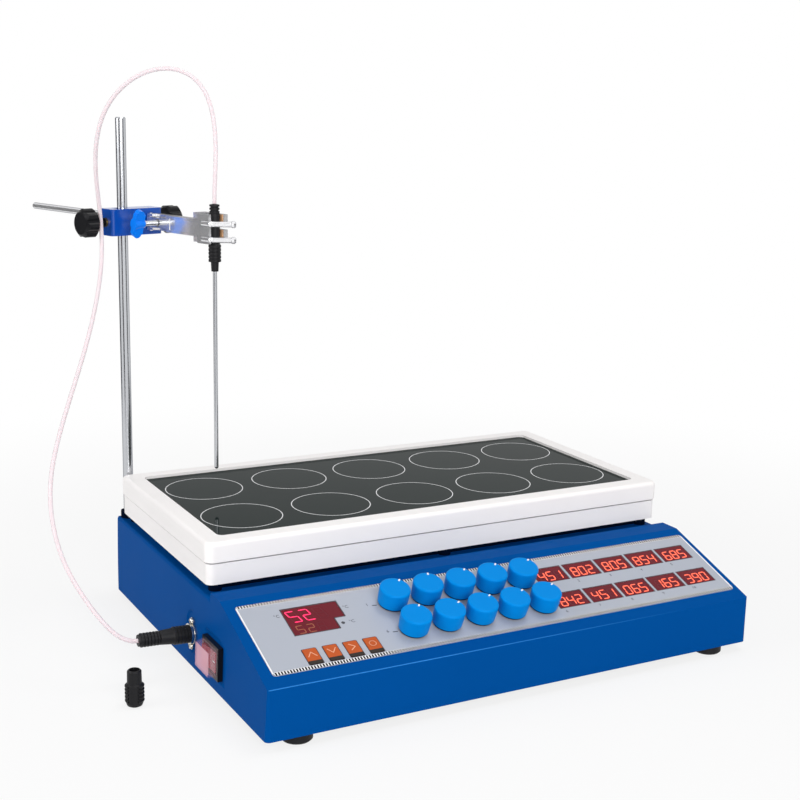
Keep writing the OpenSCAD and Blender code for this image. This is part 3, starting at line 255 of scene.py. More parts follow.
def drawn_lines_group():
    """Fine parallel lines left by drawing, turning or brushing."""
    group = Group(
        "drawn_lines",
        [("Place", "Vector", None), ("Stretch", "Vector", (1.0, 1.0, 0.02)), ("Scale", "Float", 1500.0)],
        [("Height", "Float"), ("Streak", "Float")],
    )
    scaled = group.vector_maths("MULTIPLY", group.given["Place"], group.given["Stretch"])[0]
    noise = group.node("ShaderNodeTexNoise", Vector=scaled, Scale=group.given["Scale"], Detail=2.0)
    group.put("Height", noise.outputs["Fac"])
    ramp = group.node(
        "ShaderNodeMapRange", Value=noise.outputs["Fac"], From_Min=0.3, From_Max=0.7, To_Min=0.0, To_Max=1.0
    )
    group.put("Streak", ramp.outputs["Result"])
    return group.tree


def height_band_group():
    """One between two heights over a plane, nought outside them, in metres."""
    group = Group(
        "height_band",
        [
            ("Place", "Vector", None), ("Origin", "Vector", (0.0, 0.0, 0.0)),
            ("Direction", "Vector", (0.0, 0.0, 1.0)), ("Low", "Float", 0.0), ("High", "Float", 1.0),
        ],
        [("Mask", "Float")],
    )
    offset = group.vector_maths("SUBTRACT", group.given["Place"], group.given["Origin"])[0]
    height = group.vector_maths("DOT_PRODUCT", offset, group.given["Direction"])["Value"]
    above = group.maths("GREATER_THAN", height, group.given["Low"])
    below = group.maths("LESS_THAN", height, group.given["High"])
    group.put("Mask", group.maths("MULTIPLY", above, below))
    return group.tree


def settled_dust_group():
    """A thin veil of dust on faces that look upwards."""
    group = Group(
        "settled_dust",
        [
            ("Place", "Vector", None), ("Colour", "Color", None), ("Dust", "Color", linear(200, 200, 198)),
            ("Amount", "Float", 0.05),
        ],
        [("Colour", "Color")],
    )
    geometry = group.node("ShaderNodeNewGeometry")
    parts = group.node("ShaderNodeSeparateXYZ", Vector=geometry.outputs["Normal"])
    upward = group.node("ShaderNodeMapRange", Value=parts.outputs["Z"], From_Min=0.3, From_Max=1.0)
    speck = group.node("ShaderNodeTexNoise", Vector=group.given["Place"], Scale=60.0, Detail=6.0)
    thick = group.maths("MULTIPLY", upward.outputs["Result"], speck.outputs["Fac"])
    mask = group.maths("MULTIPLY", thick, group.given["Amount"])
    group.put("Colour", group.mix(mask, group.given["Colour"], group.given["Dust"]))
    return group.tree


GROUPS = {
    "drift": tone_drift_group(),
    "grain": fine_grain_group(),
    "lines": drawn_lines_group(),
    "band": height_band_group(),
    "dust": settled_dust_group(),
}


# Finishes


class Finish(Tree):
    """One material: a Principled shader whose inputs come from the shared groups."""

    def __init__(self, name, coordinates="Object"):
        self.material = bpy.data.materials.new(name)
        self.material.use_nodes = True
        self.tree = self.material.node_tree
        self.tree.nodes.clear()
        self.shader = self.tree.nodes.new("ShaderNodeBsdfPrincipled")
        output = self.tree.nodes.new("ShaderNodeOutputMaterial")
        self.tree.links.new(self.shader.outputs["BSDF"], output.inputs["Surface"])
        self.place = self.tree.nodes.new("ShaderNodeTexCoord").outputs[coordinates]

    def group(self, key, **inputs):
        return self.node("ShaderNodeGroup", {"node_tree": GROUPS[key]}, Place=self.place, **inputs)

    def blend_values(self, mask, first, second):
        return self.node("ShaderNodeMix", {"data_type": "FLOAT"}, i0=mask, i2=first, i3=second).outputs[0]

    def add_glint(self, tone, colour, origin, width, near, far):
        """A line of light along the front fold, which fades from near to far along X."""
        above = self.group("band", Origin=origin, Direction=(0.0, 0.0, 1.0), Low=-width, High=width)
        before = self.group("band", Origin=origin, Direction=(0.0, 1.0, 0.0), Low=-width, High=width)
        offset = self.vector_maths("SUBTRACT", self.place, origin)[0]
        reach = self.node("ShaderNodeSeparateXYZ", Vector=offset).outputs["X"]
        fade = self.node(
            "ShaderNodeMapRange", Value=reach, From_Min=near, From_Max=far, To_Min=1.0, To_Max=0.0
        )
        line = self.maths("MULTIPLY", above.outputs["Mask"], before.outputs["Mask"])
        return self.mix(self.maths("MULTIPLY", line, fade.outputs["Result"]), tone, colour)

    def feed(self, label, value):
        """Links a socket to an input of the shader, or sets the input to a constant."""
        if isinstance(value, bpy.types.NodeSocket):
            self.tree.links.new(value, self.shader.inputs[label])
        else:
            self.shader.inputs[label].default_value = value

    def relief(self, height, strength, distance=0.0002):
        bump = self.node("ShaderNodeBump", Height=height, Strength=strength, Distance=distance)
        self.feed("Normal", bump.outputs["Normal"])


def finish(
    name,
    colour,
    roughness,
    metallic=0.0,
    drift=0.04,
    drift_scale=11.0,
    spread=0.08,
    grain=900.0,
    relief=0.12,
    dust=0.0,
    lines=None,
    second=None,
    bands=(),
    glint=None,
    coordinates="Object",
    **constants,
):
    """A finish with drifting tone, fine relief and uneven shine. second is (colour, roughness, metallic)
    and shows where every band, (origin, direction, low, high), says. glint is (colour, origin, width, near,
    far): a line of light along the front fold."""
    made = Finish(name, coordinates)
    tone = made.group("drift", Colour=colour, Amount=drift, Scale=drift_scale).outputs["Colour"]
    skin = made.group("grain", Scale=grain, Roughness=roughness, Spread=spread)
    shine = skin.outputs["Roughness"]
    height = skin.outputs["Height"]
    if lines:
        drawn = made.group("lines", Stretch=lines)
        height = drawn.outputs["Height"]
        shine = made.maths("MULTIPLY_ADD", drawn.outputs["Streak"], spread, shine)
    if dust:
        veil = made.group("dust", Colour=tone, Amount=dust)
        tone = veil.outputs["Colour"]
    if second:
        mask = 1.0
        for origin, direction, low, high in bands:
            part = made.group("band", Origin=origin, Direction=direction, Low=low, High=high)
            mask = made.maths("MULTIPLY", part.outputs["Mask"], mask)
        other = made.group("drift", Colour=second[0], Amount=drift, Scale=drift_scale * 3)
        tone = made.mix(mask, tone, other.outputs["Colour"])
        shine = made.blend_values(mask, shine, second[1])
        made.feed("Metallic", made.blend_values(mask, metallic, second[2]))
    else:
        made.feed("Metallic", metallic)
    if glint:
        tone = made.add_glint(tone, *glint)
    made.feed("Base Color", tone)
    made.feed("Roughness", shine)
    made.relief(height, relief)
    for label, value in constants.items():
        made.feed(label.replace("_", " "), value)
    return made.material


def glowing(name, colour, strength):
    """A lit segment: its light drifts a little along the bar, as a diode's does."""
    made = Finish(name)
    tone = made.group("drift", Colour=colour, Amount=0.25, Scale=350.0).outputs["Colour"]
    made.feed("Base Color", tone)
    made.feed("Emission Color", tone)
    made.feed("Emission Strength", strength)
    made.feed("Roughness", made.group("grain", Roughness=0.4).outputs["Roughness"])
    return made.material


BLACK = linear(15, 15, 18)
STEEL = linear(196, 198, 202)
BRASS = linear(196, 160, 84)
UP = (0.0, 0.0, 1.0)


def in_row(frame_matrix, point=(0.0, 0.0, 0.0)):
    return tuple(frame_matrix @ Vector(point))


def direction_of(frame_matrix, axis):
    return tuple((frame_matrix.to_3x3() @ Vector(axis)).normalized())


# Painted shade: the deck and plinth faces in the gap under the trays, behind the crest, get a near-black
# navy. The glint is a painted highlight along the front fold.
blue_paint = finish(
    "blue_paint", linear(0, 74, 146), 0.45, drift=0.05, drift_scale=5.0, grain=1100.0, relief=0.14,
    second=(linear(3, 14, 34), 0.6, 0.0), Specular_IOR_Level=0.01,
    bands=[
        (in_row(corner), UP, (DECK_H + 0.2) * MM, (TRAY_Z + 0.5) * MM),
        (in_row(corner), (0.0, 1.0, 0.0), (CREST_Y + 0.5) * MM, 1.0),
    ],
    glint=(linear(46, 124, 200), in_row(corner, (0, 0, FRONT_H)), 0.5 * MM, 0.15, 0.42),
)
white_paint = finish(
    "white_paint", linear(243, 240, 239), 0.34, drift=0.015, grain=1000.0, relief=0.14,
    Specular_IOR_Level=0.2,
)
dark_plate = finish("dark_plate", linear(62, 64, 68), 0.5, drift=0.08, grain=1500.0, relief=0.2)
zinc = finish("zinc", linear(188, 190, 194), 0.32, metallic=1.0, drift=0.06, drift_scale=60.0)
aluminium = finish(
    "rolled_aluminium", linear(205, 207, 210), 0.36, metallic=1.0, lines=(1.0, 0.02, 1.0), spread=0.1
)
polished_steel = finish(
    "polished_steel", STEEL, 0.12, metallic=1.0, drift=0.05, drift_scale=30.0, lines=(1.0, 1.0, 0.01),
    spread=0.08, relief=0.06, Specular_Tint=(0.2, 0.2, 0.22, 1.0),
)
chrome = finish(
    "chrome_plate", linear(240, 240, 242), 0.16, metallic=0.8, drift=0.03, drift_scale=40.0, spread=0.06,
    grain=260.0, relief=0.05, Specular_Tint=(0.18, 0.18, 0.2, 1.0),
)
nickel = finish(
    "nickel_plate", linear(206, 203, 196), 0.2, metallic=1.0, drift=0.08, drift_scale=120.0, spread=0.12
)
rubber = finish(
    "black_rubber", BLACK, 0.5, drift=0.12, drift_scale=70.0, grain=2200.0, relief=0.3, spread=0.15,
    Specular_IOR_Level=0.25,
)
plastic = finish(
    "black_plastic", BLACK, 0.34, drift=0.1, drift_scale=50.0, grain=1700.0, relief=0.16,
    Specular_IOR_Level=0.25,
)
overlay_print = finish(
    "overlay_print", linear(168, 173, 184), 0.42, drift=0.03, drift_scale=9.0, grain=3200.0, relief=0.1,
    spread=0.06, Specular_IOR_Level=0.2,
)
window = finish(
    "smoked_window", linear(104, 24, 36), 0.16, drift=0.1, drift_scale=40.0, grain=500.0, relief=0.02,
    Specular_IOR_Level=0.12,
)
board = finish("board_lacquer", linear(26, 96, 52), 0.4, drift=0.15, drift_scale=80.0)
glass = finish(
    "black_glass", linear(6, 24, 22), 0.05, drift=0.15, drift_scale=7.0, grain=90.0, relief=0.01, spread=0.03,
    dust=0.01, Specular_IOR_Level=0.02,
)
boss_paint = finish(
    "boss_enamel", linear(6, 72, 166), 0.2, drift=0.06, drift_scale=60.0, grain=420.0, relief=0.12,
    Coat_Weight=0.25, Coat_Roughness=0.08,
)
cork = finish(
    "pressed_cork", linear(196, 150, 108), 0.85, drift=0.5, drift_scale=900.0, grain=700.0, relief=0.6,
    spread=0.1,
)
ink_black = finish(
    "black_ink", linear(9, 9, 12), 0.5, drift=0.1, drift_scale=200.0, Specular_IOR_Level=0.1,
)
ink_grey = finish("grey_ink", linear(44, 44, 54), 0.5, drift=0.1, drift_scale=200.0)
# Dark red print round the windows, and painted shade in the gap round the keys.
ink_and_shade_dark_red = finish("dark_red_print_and_shade", linear(44, 20, 34), 0.45, drift=0.1, drift_scale=200.0)
ink_white = finish("white_ink", linear(236, 236, 238), 0.45, drift=0.05, drift_scale=200.0)
silicone = finish(
    "silicone_sheath", linear(229, 215, 219), 0.42, drift=0.015, drift_scale=3.0, grain=30.0, relief=0.01,
    coordinates="UV", Subsurface_Weight=0.1, Subsurface_Radius=(0.002, 0.001, 0.001), Subsurface_Scale=0.5,
)
red_light = glowing("red_light", linear(250, 30, 92), 1.15)
amber_light = glowing("amber_light", linear(250, 96, 66), 0.9)
dim_light = glowing("dim_amber_light", linear(140, 66, 30), 0.12)
unlit = finish(
    "unlit_segment", linear(96, 22, 34), 0.3, drift=0.1, drift_scale=200.0, Specular_IOR_Level=0.1,
)


def make_clear_cap():
    """Clear soft plastic: its outer face is pale pink with a painted reflection, the others let the rocker
    through.
    """
    made = Finish("clear_cap")
    facing = made.node("ShaderNodeSeparateXYZ", Vector=made.node("ShaderNodeNewGeometry").outputs["Normal"])
    # Painted reflection: faces that look out along -X get more opacity, so the pale pink colour shows there
    # as the sheen of the outer face.
    outer = made.node(
        "ShaderNodeMapRange", Value=facing.outputs["X"], From_Min=-0.2, From_Max=-0.9, To_Min=0.08, To_Max=0.6
    ).outputs["Result"]
    shadow = made.node("ShaderNodeLightPath").outputs["Is Shadow Ray"]
    made.feed("Alpha", made.blend_values(shadow, outer, 0.08))
    made.feed("Base Color", made.group("drift", Colour=linear(222, 164, 180), Amount=0.03).outputs["Colour"])
    skin = made.group("grain", Scale=260.0, Roughness=0.2, Spread=0.05)
    made.feed("Roughness", skin.outputs["Roughness"])
    made.feed("Specular IOR Level", 0.2)
    made.relief(skin.outputs["Height"], 0.03)
    return made.material


clear_cap = make_clear_cap()


# Pieces


class Shape:
    """A mesh under construction in a local frame, in millimetres."""

    def __init__(self):
        self.bm = bmesh.new()

    def lathe(self, profile, segments=72, at=None):
        """Revolves (radius, height) points round Z. Ends on the axis are closed."""
        rings = []
        at = at or Matrix.Identity(4)
        for radius, height in profile:
            if radius < 1e-6:
                rings.append([self.bm.verts.new(at @ Vector((0, 0, height)))])
                continue
            turns = [2 * math.pi * k / segments for k in range(segments)]
            ring = [Vector((radius * math.cos(a), radius * math.sin(a), height)) for a in turns]
            rings.append([self.bm.verts.new(at @ p) for p in ring])
        for low, high in zip(rings, rings[1:]):
            for k in range(segments):
                n = k + 1
                quad = [low[k % len(low)], low[n % len(low)], high[n % len(high)], high[k % len(high)]]
                corners = list(dict.fromkeys(quad))
                if len(corners) > 2:
                    self.bm.faces.new(corners)
        return self

    def prism(self, outline, low, high, at=None):
        """A closed plate with this outline, given counter-clockwise."""
        at = at or Matrix.Identity(4)
        bottom = [self.bm.verts.new(at @ Vector((x, y, low))) for x, y in outline]
        top = [self.bm.verts.new(at @ Vector((x, y, high))) for x, y in outline]
        self.bm.faces.new(list(reversed(bottom)))
        self.bm.faces.new(top)
        for k in range(len(outline)):
            n = (k + 1) % len(outline)
            self.bm.faces.new([bottom[k], bottom[n], top[n], top[k]])
        return self

    def stroke(self, points, width, low, high):
        """Straight strokes of one width through the points, each a closed bar with cut ends."""
        for a, b in zip(points, points[1:]):
            along = (Vector(b) - Vector(a)).normalized()
            side = Vector((-along.y, along.x)) * width / 2
            ends = along * width / 2
            a2, b2 = Vector(a) - ends, Vector(b) + ends
            self.prism([a2 - side, b2 - side, b2 + side, a2 + side], low, high)
        return self

    def add(self, mesh, at):
        """Joins a finished mesh, placed by a matrix."""
        mesh = mesh.copy()
        mesh.transform(at)
        self.bm.from_mesh(mesh)
        bpy.data.meshes.remove(mesh)
        return self


def arc(cx, cy, radius, start, end, steps=6):
    """Points on an arc, angles in degrees."""
    angles = [math.radians(start + (end - start) * k / steps) for k in range(steps + 1)]
    return [(cx + radius * math.cos(a), cy + radius * math.sin(a)) for a in angles]


def rectangle(x0, y0, x1, y1):
    return [(x0, y0), (x1, y0), (x1, y1), (x0, y1)]


def rounded_outline(x0, y0, x1, y1, r, steps=6):
    corners = [(x1 - r, y0 + r, -90), (x1 - r, y1 - r, 0), (x0 + r, y1 - r, 90), (x0 + r, y0 + r, 180)]
    return [p for cx, cy, a in corners for p in arc(cx, cy, r, a, a + 90, steps)]


def stand(name, mesh, material, crease):
    """An object in the scene with this mesh: one material, smooth faces and sharp creases."""
    mesh.materials.clear()
    mesh.materials.append(material)
    mesh.shade_smooth()
    mesh.set_sharp_from_angle(angle=math.radians(crease))
    return link(name, mesh)


def piece(name, shape, frame_matrix, body, material, replaces=(), soften=0.0, crease=34.0):
    """Turns a shape into a piece of the model: placed, shaded, riding on its body."""
    bmesh.ops.recalc_face_normals(shape.bm, faces=shape.bm.faces)
    shape.bm.transform(frame_matrix)
    mesh = bpy.data.meshes.new(name)
    shape.bm.to_mesh(mesh)
    shape.bm.free()
    made = stand(name, mesh, material, crease)
    if soften:
        bevel = made.modifiers.new("softened edges", "BEVEL")
        bevel.width = soften * MM
        bevel.segments = 3
        bevel.limit_method = "ANGLE"
        bevel.angle_limit = math.radians(crease)
        bevel.harden_normals = True
    else:
        even = made.modifiers.new("even shading", "WEIGHTED_NORMAL")
        even.keep_sharp = True
    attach(made, body)
    if replaces:
        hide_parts(*replaces)
    return made


def dress(material, *nodes):
    """Gives CAD nodes their finish."""
    for node in nodes:
        for holder in frame["nodes"][node].material_slots:
            holder.material = material


# Sensor cable

CABLE_DIA = 4.0
PROBE_REACH = 112.5
PROBE_X = ROD_X + ARM_OFF * math.cos(math.radians(ARM_TURN)) + PROBE_REACH * math.sin(math.radians(ARM_TURN))
PROBE_Y = ROD_Y + ARM_OFF * math.sin(math.radians(ARM_TURN)) - PROBE_REACH * math.cos(math.radians(ARM_TURN))
CABLE_ROUTE = [
    (-49.34, 173.0, 32.65), (-59, 173, 34), (-67, 175, 38), (-75, 180, 47), (-84, 188, 60),
    (-93, 198, 76), (-100, 211, 92), (-105, 224, 110), (-106, 239, 133), (-104, 252, 155),
    (-97, 266, 176), (-86, 281, 198), (-70, 301, 226), (-57, 316, 247), (-46, 329, 267),
    (-35, 343, 288), (-26, 355, 309), (-18, 368, 330), (-13, 376, 350), (-13, 378, 372),
    (-13, 379, 388), (-15, 378, 402), (-18, 374, 419), (-21, 367, 437), (-22, 361, 454),
    (-21, 355, 470), (-18, 350, 484), (-12, 345, 498), (-2, 340, 511), (10, 334, 521),
    (23, 329, 527), (36, 324, 529), (48, 320, 528), (58, 316, 523), (67, 311, 514),
    (73, 308, 501), (75, 303, 485), (75, 298, 467), (74, 295, 448), (72, 294, 428),
    (PROBE_X, PROBE_Y, 405),
]
SPLIT_LOW = 12
SPLIT_TOP = 19
STEPS = 6
SMOOTHING = 50
LEAD = 4
TUBE_SIDES = 16


def flowing_route():
    """The cable's points as one smooth line, STEPS points to each stretch. Both ends keep their direction."""
    points = [Vector(p) for p in CABLE_ROUTE]
    out_of_plug = Vector((-math.cos(math.radians(SIDE_LEAN)), 0, math.sin(math.radians(SIDE_LEAN))))
    ghosts = [points[0] - out_of_plug * 10] + points + [points[-1] - Vector((0, 0, 12))]
    line = []
    for a, b, c, d in zip(ghosts, ghosts[1:], ghosts[2:], ghosts[3:]):
        for k in range(STEPS):
            t = k / STEPS
            bow = (2 * a - 5 * b + 4 * c - d) * t**2
            line.append(0.5 * (2 * b + (c - a) * t + bow + (3 * b - a - 3 * c + d) * t**3))
    line.append(points[-1])
    for _ in range(SMOOTHING):
        eased = [(p + q * 2 + r) / 4 for p, q, r in zip(line, line[1:], line[2:])]
        line[LEAD:-LEAD] = eased[LEAD - 1 : 1 - LEAD]
    return [corner @ p for p in line]


def tube(name, path, diameter, material):
    """A round closed tube along a path, in metres, with a UV map that runs along it."""
    bm = bmesh.new()
    along = bm.loops.layers.uv.new("UVMap")
    side = Vector((0, 1, 0))
    travelled = 0.0
    rings = []
    lengths = []
    for k, centre in enumerate(path):
        ahead = path[min(k + 1, len(path) - 1)] - path[max(k - 1, 0)]
        direction = ahead.normalized()
        side = (side - direction * side.dot(direction)).normalized()
        other = direction.cross(side)
        turns = [2 * math.pi * s / TUBE_SIDES for s in range(TUBE_SIDES)]
        rings.append(
            [bm.verts.new(centre + (side * math.cos(a) + other * math.sin(a)) * diameter / 2) for a in turns]
        )
        travelled += (path[k] - path[k - 1]).length if k else 0.0
        lengths.append(travelled)
    for k in range(len(rings) - 1):
        for s in range(TUBE_SIDES):
            n = (s + 1) % TUBE_SIDES
            wall = bm.faces.new([rings[k][s], rings[k][n], rings[k + 1][n], rings[k + 1][s]])
            around = [s, s + 1, s + 1, s]
            ends = [lengths[k], lengths[k], lengths[k + 1], lengths[k + 1]]
            for loop, u, v in zip(wall.loops, ends, around):
                loop[along].uv = (u / diameter * 0.1, v / TUBE_SIDES * 0.3)
    bm.faces.new(list(reversed(rings[0])))
    bm.faces.new(rings[-1])
    mesh = bpy.data.meshes.new(name)
    bm.to_mesh(mesh)
    bm.free()
    return stand(name, mesh, material, crease=60)


def make_cable():
    """The cable hangs between four bodies, so it is three stretches that meet ring to ring."""
    route = flowing_route()
    low, top = SPLIT_LOW * STEPS, SPLIT_TOP * STEPS
    lower, middle, upper = route[: low + 1], route[low : top + 1], route[top:]
    blend_from = route[4 * STEPS]
    still_below = route[14 * STEPS]
    reach = (upper[-1] - upper[0]) * 0.94
    reach.z = 0.0
    stretches = [
        ("sensor_cable_lower", lower, "console", "rod", blend_from, lower[-1], "cable_lower"),
        ("sensor_cable_middle", middle, "rod", "boss", still_below, middle[-1], "cable_middle"),
        ("sensor_cable_upper", upper, "boss", "clamp", upper[0], upper[0] + reach, "cable_upper"),
    ]
    for name, path, first, second, start, end, node in stretches:
        made = tube(name, path, CABLE_DIA * MM, silicone)
        if name == "sensor_cable_middle":
            end = Vector((start.x, start.y, end.z))
        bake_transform(made)
        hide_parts(node)


# Control face

KNOB_DIA = 28.0
KNOB_H = 17.5
KNOB_LIFT = 1.3
KNOB_SKIRT = 1.6
KNOB_PIVOT = 5.0
SPINDLE_DIA = 6.0
SPINDLE_ROOT = -11.0


def knob_profile():
    """From the spindle's foot over the dark skirt and the rounded crown to the axis."""
    r = KNOB_DIA / 2
    skirt_top = KNOB_LIFT + KNOB_SKIRT
    top = KNOB_LIFT + KNOB_H
    return (
        [(0, SPINDLE_ROOT), (SPINDLE_DIA / 2, SPINDLE_ROOT), (SPINDLE_DIA / 2, KNOB_LIFT)]
        + [(r - 2.0, KNOB_LIFT), (r - 1.5, KNOB_LIFT + 0.4), (r - 1.5, skirt_top), (r - 1.0, skirt_top)]
        + [(r - 0.7, skirt_top + 0.3), (r - 0.25, KNOB_LIFT + KNOB_H * 0.45)]
        + arc(r - 1.9, top - 1.9, 1.9, 0, 90, 8)
        + [(r - 5, top + 0.02), (0, top + 0.04)]
    )


def knob_place(k):
    """A knob's place on the control face, along it and up the slope."""
    seen = face.inverted() @ Vector(joints[f"knob_{k + 1}_turn"]["pos_m"])
    return seen.x, seen.y


def make_knobs():
    """Ten speed knobs: a blue cap over a dark skirt, and a white pointer at the crown's edge."""
    low_edge = (KNOB_LIFT + KNOB_SKIRT) * MM
    axis = tuple(knob_axis)
    cap = finish(
        "knob_cap", linear(0, 132, 214), 0.38, drift=0.03, drift_scale=25.0, grain=1900.0, relief=0.1,
        second=(linear(4, 22, 52), 0.5, 0.0), bands=[(in_row(face), axis, -1.0, low_edge)],
        Specular_IOR_Level=0.04,
    )
    for k in range(10):
        joint = joints[f"knob_{k + 1}_turn"]
        pivot = Vector(joint["pos_m"])
        foot = pivot - knob_axis * KNOB_PIVOT * MM
        mark = -150 - joint["range_deg"][0]
        local = Matrix.Translation(foot) @ turned(SLOPE, "X") @ turned(mark, "Z") @ Matrix.Scale(MM, 4)
        body = joint["child"]
        piece(
            f"speed_knob_cap_{k + 1}", Shape().lathe(knob_profile(), 96), local, body, cap,
            [f"speed_knob_{k + 1}"], crease=50,
        )
        pointer = rounded_outline(-0.75, KNOB_DIA / 2 - 3.9, 0.75, KNOB_DIA / 2 - 1.0, 0.6, 4)
        top = KNOB_LIFT + KNOB_H
        piece(
            f"speed_knob_pointer_{k + 1}", Shape().prism(pointer, top - 0.6, top + 0.22), local, body,
            ink_white, soften=0.12,
        )


KEY_X = 46.5
KEY_PITCH = 18.8
KEY_W = 12.3
KEY_L = 18.5
KEY_LOW = 19.0
KEY_ROOT = -5.0
KEY_TOP = 1.4
KEY_STRIP = 3.8
KEY_STEM = 4.0
KEY_STEM_FOOT = -11.2


def key_symbols(centre):
    """Up, down, right and a ring, as strokes round a key's middle."""
    cx, cy = centre
    ring = arc(cx, cy, 3.0, 0, 360, 24)
    return {
        "up": [(cx - 3.7, cy - 2.3), (cx, cy + 2.9), (cx + 3.7, cy - 2.3)],
        "down": [(cx - 3.7, cy + 2.9), (cx, cy - 2.3), (cx + 3.7, cy + 2.9)],
        "shift": [(cx - 2.2, cy - 3.4), (cx + 2.4, cy + 0.2), (cx - 2.2, cy + 3.8)],
        "set": ring,
    }


def make_keys():
    """Four membrane-fronted keys with a dark strip along the lower edge and a light symbol."""
    strip_top = (KEY_LOW + KEY_STRIP) * MM
    up_slope = direction_of(face, (0, 1, 0))
    cap = finish(
        "key_cap", linear(184, 84, 38), 0.34, drift=0.08, drift_scale=120.0, grain=1500.0, relief=0.1,
        second=(linear(48, 42, 38), 0.45, 0.0), bands=[(in_row(face), up_slope, -1.0, strip_top)],
        Specular_IOR_Level=0.1,
    )
    symbol = finish("key_symbol", linear(226, 168, 134), 0.45, drift=0.08, drift_scale=200.0)
    for k, role in enumerate(["up", "down", "shift", "set"]):
        x = KEY_X + k * KEY_PITCH
        middle = (x + KEY_W / 2, KEY_LOW + KEY_L / 2)
        cap_outline = rounded_outline(x, KEY_LOW, x + KEY_W, KEY_LOW + KEY_L, 1.0, 4)
        flange = rounded_outline(x - 1, KEY_LOW - 1, x + KEY_W + 1, KEY_LOW + KEY_L + 1, 1.0, 4)
        shape = Shape().prism(cap_outline, KEY_ROOT + 0.9, KEY_TOP).prism(flange, KEY_ROOT, KEY_ROOT + 1)
        r = KEY_STEM / 2
        shape.lathe(
            [(0, KEY_STEM_FOOT), (r, KEY_STEM_FOOT), (r, KEY_ROOT), (0, KEY_ROOT)], 32,
            moved(middle[0], middle[1], 0),
        )
        body = f"key_{role}"
        piece(f"{role}_key_cap", shape, face, body, cap, [f"{role}_key"], soften=0.3)
        lines = key_symbols((middle[0], middle[1] + KEY_STRIP / 2))[role]
        mark = Shape().stroke(lines, 0.7, KEY_TOP - 0.1, KEY_TOP + 0.05)
        piece(f"{role}_key_symbol", mark, face, body, symbol)


# The seven bars of a digit in a cell one wide and one high, and the bars that each digit lights.
BARS = {
    "a": ((0, 1), (1, 1)), "b": ((1, 1), (1, 0.5)), "c": ((1, 0.5), (1, 0)), "d": ((0, 0), (1, 0)),
    "e": ((0, 0.5), (0, 0)), "f": ((0, 1), (0, 0.5)), "g": ((0, 0.5), (1, 0.5)),
}
LIT = {
    "0": "abcdef", "1": "bc", "2": "abged", "3": "abgcd", "4": "fgbc", "5": "afgcd", "6": "afgedc",
    "7": "abc", "8": "abcdefg", "9": "abcdfg",
}
SPEED_SLANT = 0.1


def digit_bars(shape, bars, x, y, width, height, stroke, slant, low, high):
    """Adds some of a digit's seven bars: each is a slim hexagon that tapers to its ends."""
    for bar in bars:
        (x0, y0), (x1, y1) = BARS[bar]
        a, b = Vector((x0 * width, y0 * height)), Vector((x1 * width, y1 * height))
        along = (b - a).normalized()
        side = Vector((-along.y, along.x)) * stroke / 2
        a2, b2 = a + along * stroke * 0.12, b - along * stroke * 0.12
        taper = along * stroke / 2
        outline = [a2, a2 + taper - side, b2 - taper - side, b2, b2 - taper + side, a2 + taper + side]
        shape.prism([(x + p.x + p.y * slant, y + p.y) for p in outline], low, high)


def digit_row(shapes, text, x, y, pitch, width, height, stroke, slant):
    """Lights a number's bars and adds the rest of each cell to the unlit shape."""
    lit, dark = shapes
    for k, figure in enumerate(text):
        cell = (x + k * pitch, y, width, height, stroke, slant)
        on = LIT.get(figure, "")
        digit_bars(lit, on, *cell, WINDOW_TOP - 0.02, WINDOW_TOP + 0.06)
        digit_bars(dark, [b for b in BARS if b not in on], *cell, WINDOW_TOP - 0.02, WINDOW_TOP + 0.03)


READOUT_X = 301.5
READOUT_PITCH = 36.8
READOUT_W = 33.0
READOUT_L = 19.8
ROWS = (77.5, 40.5)
SPEEDS = (("451", "802", "805", "854", "685"), ("842", "451", "065", "165", "390"))


def make_readouts():
    """The figures behind the windows: ten speeds, and the set and measured temperature."""
    dark = Shape()
    speeds = Shape()
    for row, values in zip(ROWS, SPEEDS):
        for k, value in enumerate(values):
            x = READOUT_X + k * READOUT_PITCH + 4.2
            digit_row((speeds, dark), value, x, row - 7.6, 8.9, 6.0, 11.6, 1.2, SPEED_SLANT)
    measured = Shape()
    digit_row((measured, dark), "52 ", 54.9, 72.4, 12.4, 7.6, 14.0, 1.0, -0.26)
    wanted = Shape()
    digit_row((wanted, dark), "52 ", 53.8, 57.6, 9.8, 6.0, 9.6, 0.9, -0.03)
    piece("speed_figures", speeds, face, "console", amber_light)
    piece("measured_figures", measured, face, "console", red_light)
    piece("wanted_figures", wanted, face, "console", dim_light)
    piece("unlit_figures", dark, face, "console", unlit)


# Repeated print and marks, grown by geometry nodes


def frozen(holder):
    """The holder's finished shape as a plain mesh. The holder itself is removed."""
    seen = holder.evaluated_get(bpy.context.evaluated_depsgraph_get())
    mesh = bpy.data.meshes.new_from_object(seen)
    holder.modifiers.clear()
    bpy.data.objects.remove(holder)
    return mesh


class Growth(Tree):
    """A geometry tree with named inputs, whose result becomes a plain mesh."""

    def __init__(self, name, inputs):
        self.tree = bpy.data.node_groups.new(name, "GeometryNodeTree")
        self.tree.interface.new_socket("Geometry", in_out="OUTPUT", socket_type="NodeSocketGeometry")
        self.names = {}
        for label, kind, value in inputs:
            socket = self.tree.interface.new_socket(
                label, in_out="INPUT", socket_type="NodeSocket" + kind
            )
            socket.default_value = value
            self.names[label] = socket.identifier
        self.given = self.tree.nodes.new("NodeGroupInput").outputs
        self.result = self.tree.nodes.new("NodeGroupOutput").inputs

    def close(self, geometry, material):
        """Ends the tree: instances become real and get their material."""
        real = self.node("GeometryNodeRealizeInstances", Geometry=geometry)
        painted = self.node("GeometryNodeSetMaterial", Geometry=real.outputs[0], Material=material)
        self.tree.links.new(painted.outputs[0], self.result[0])

    def grow(self, **sizes):
        """The tree's result as a plain mesh, with these sizes."""
        seed = link("seed", bpy.data.meshes.new("seed"))
        modifier = seed.modifiers.new("growth", "NODES")
        modifier.node_group = self.tree
        for label, value in sizes.items():
            modifier[self.names[label.replace("_", " ")]] = value
        return frozen(seed)


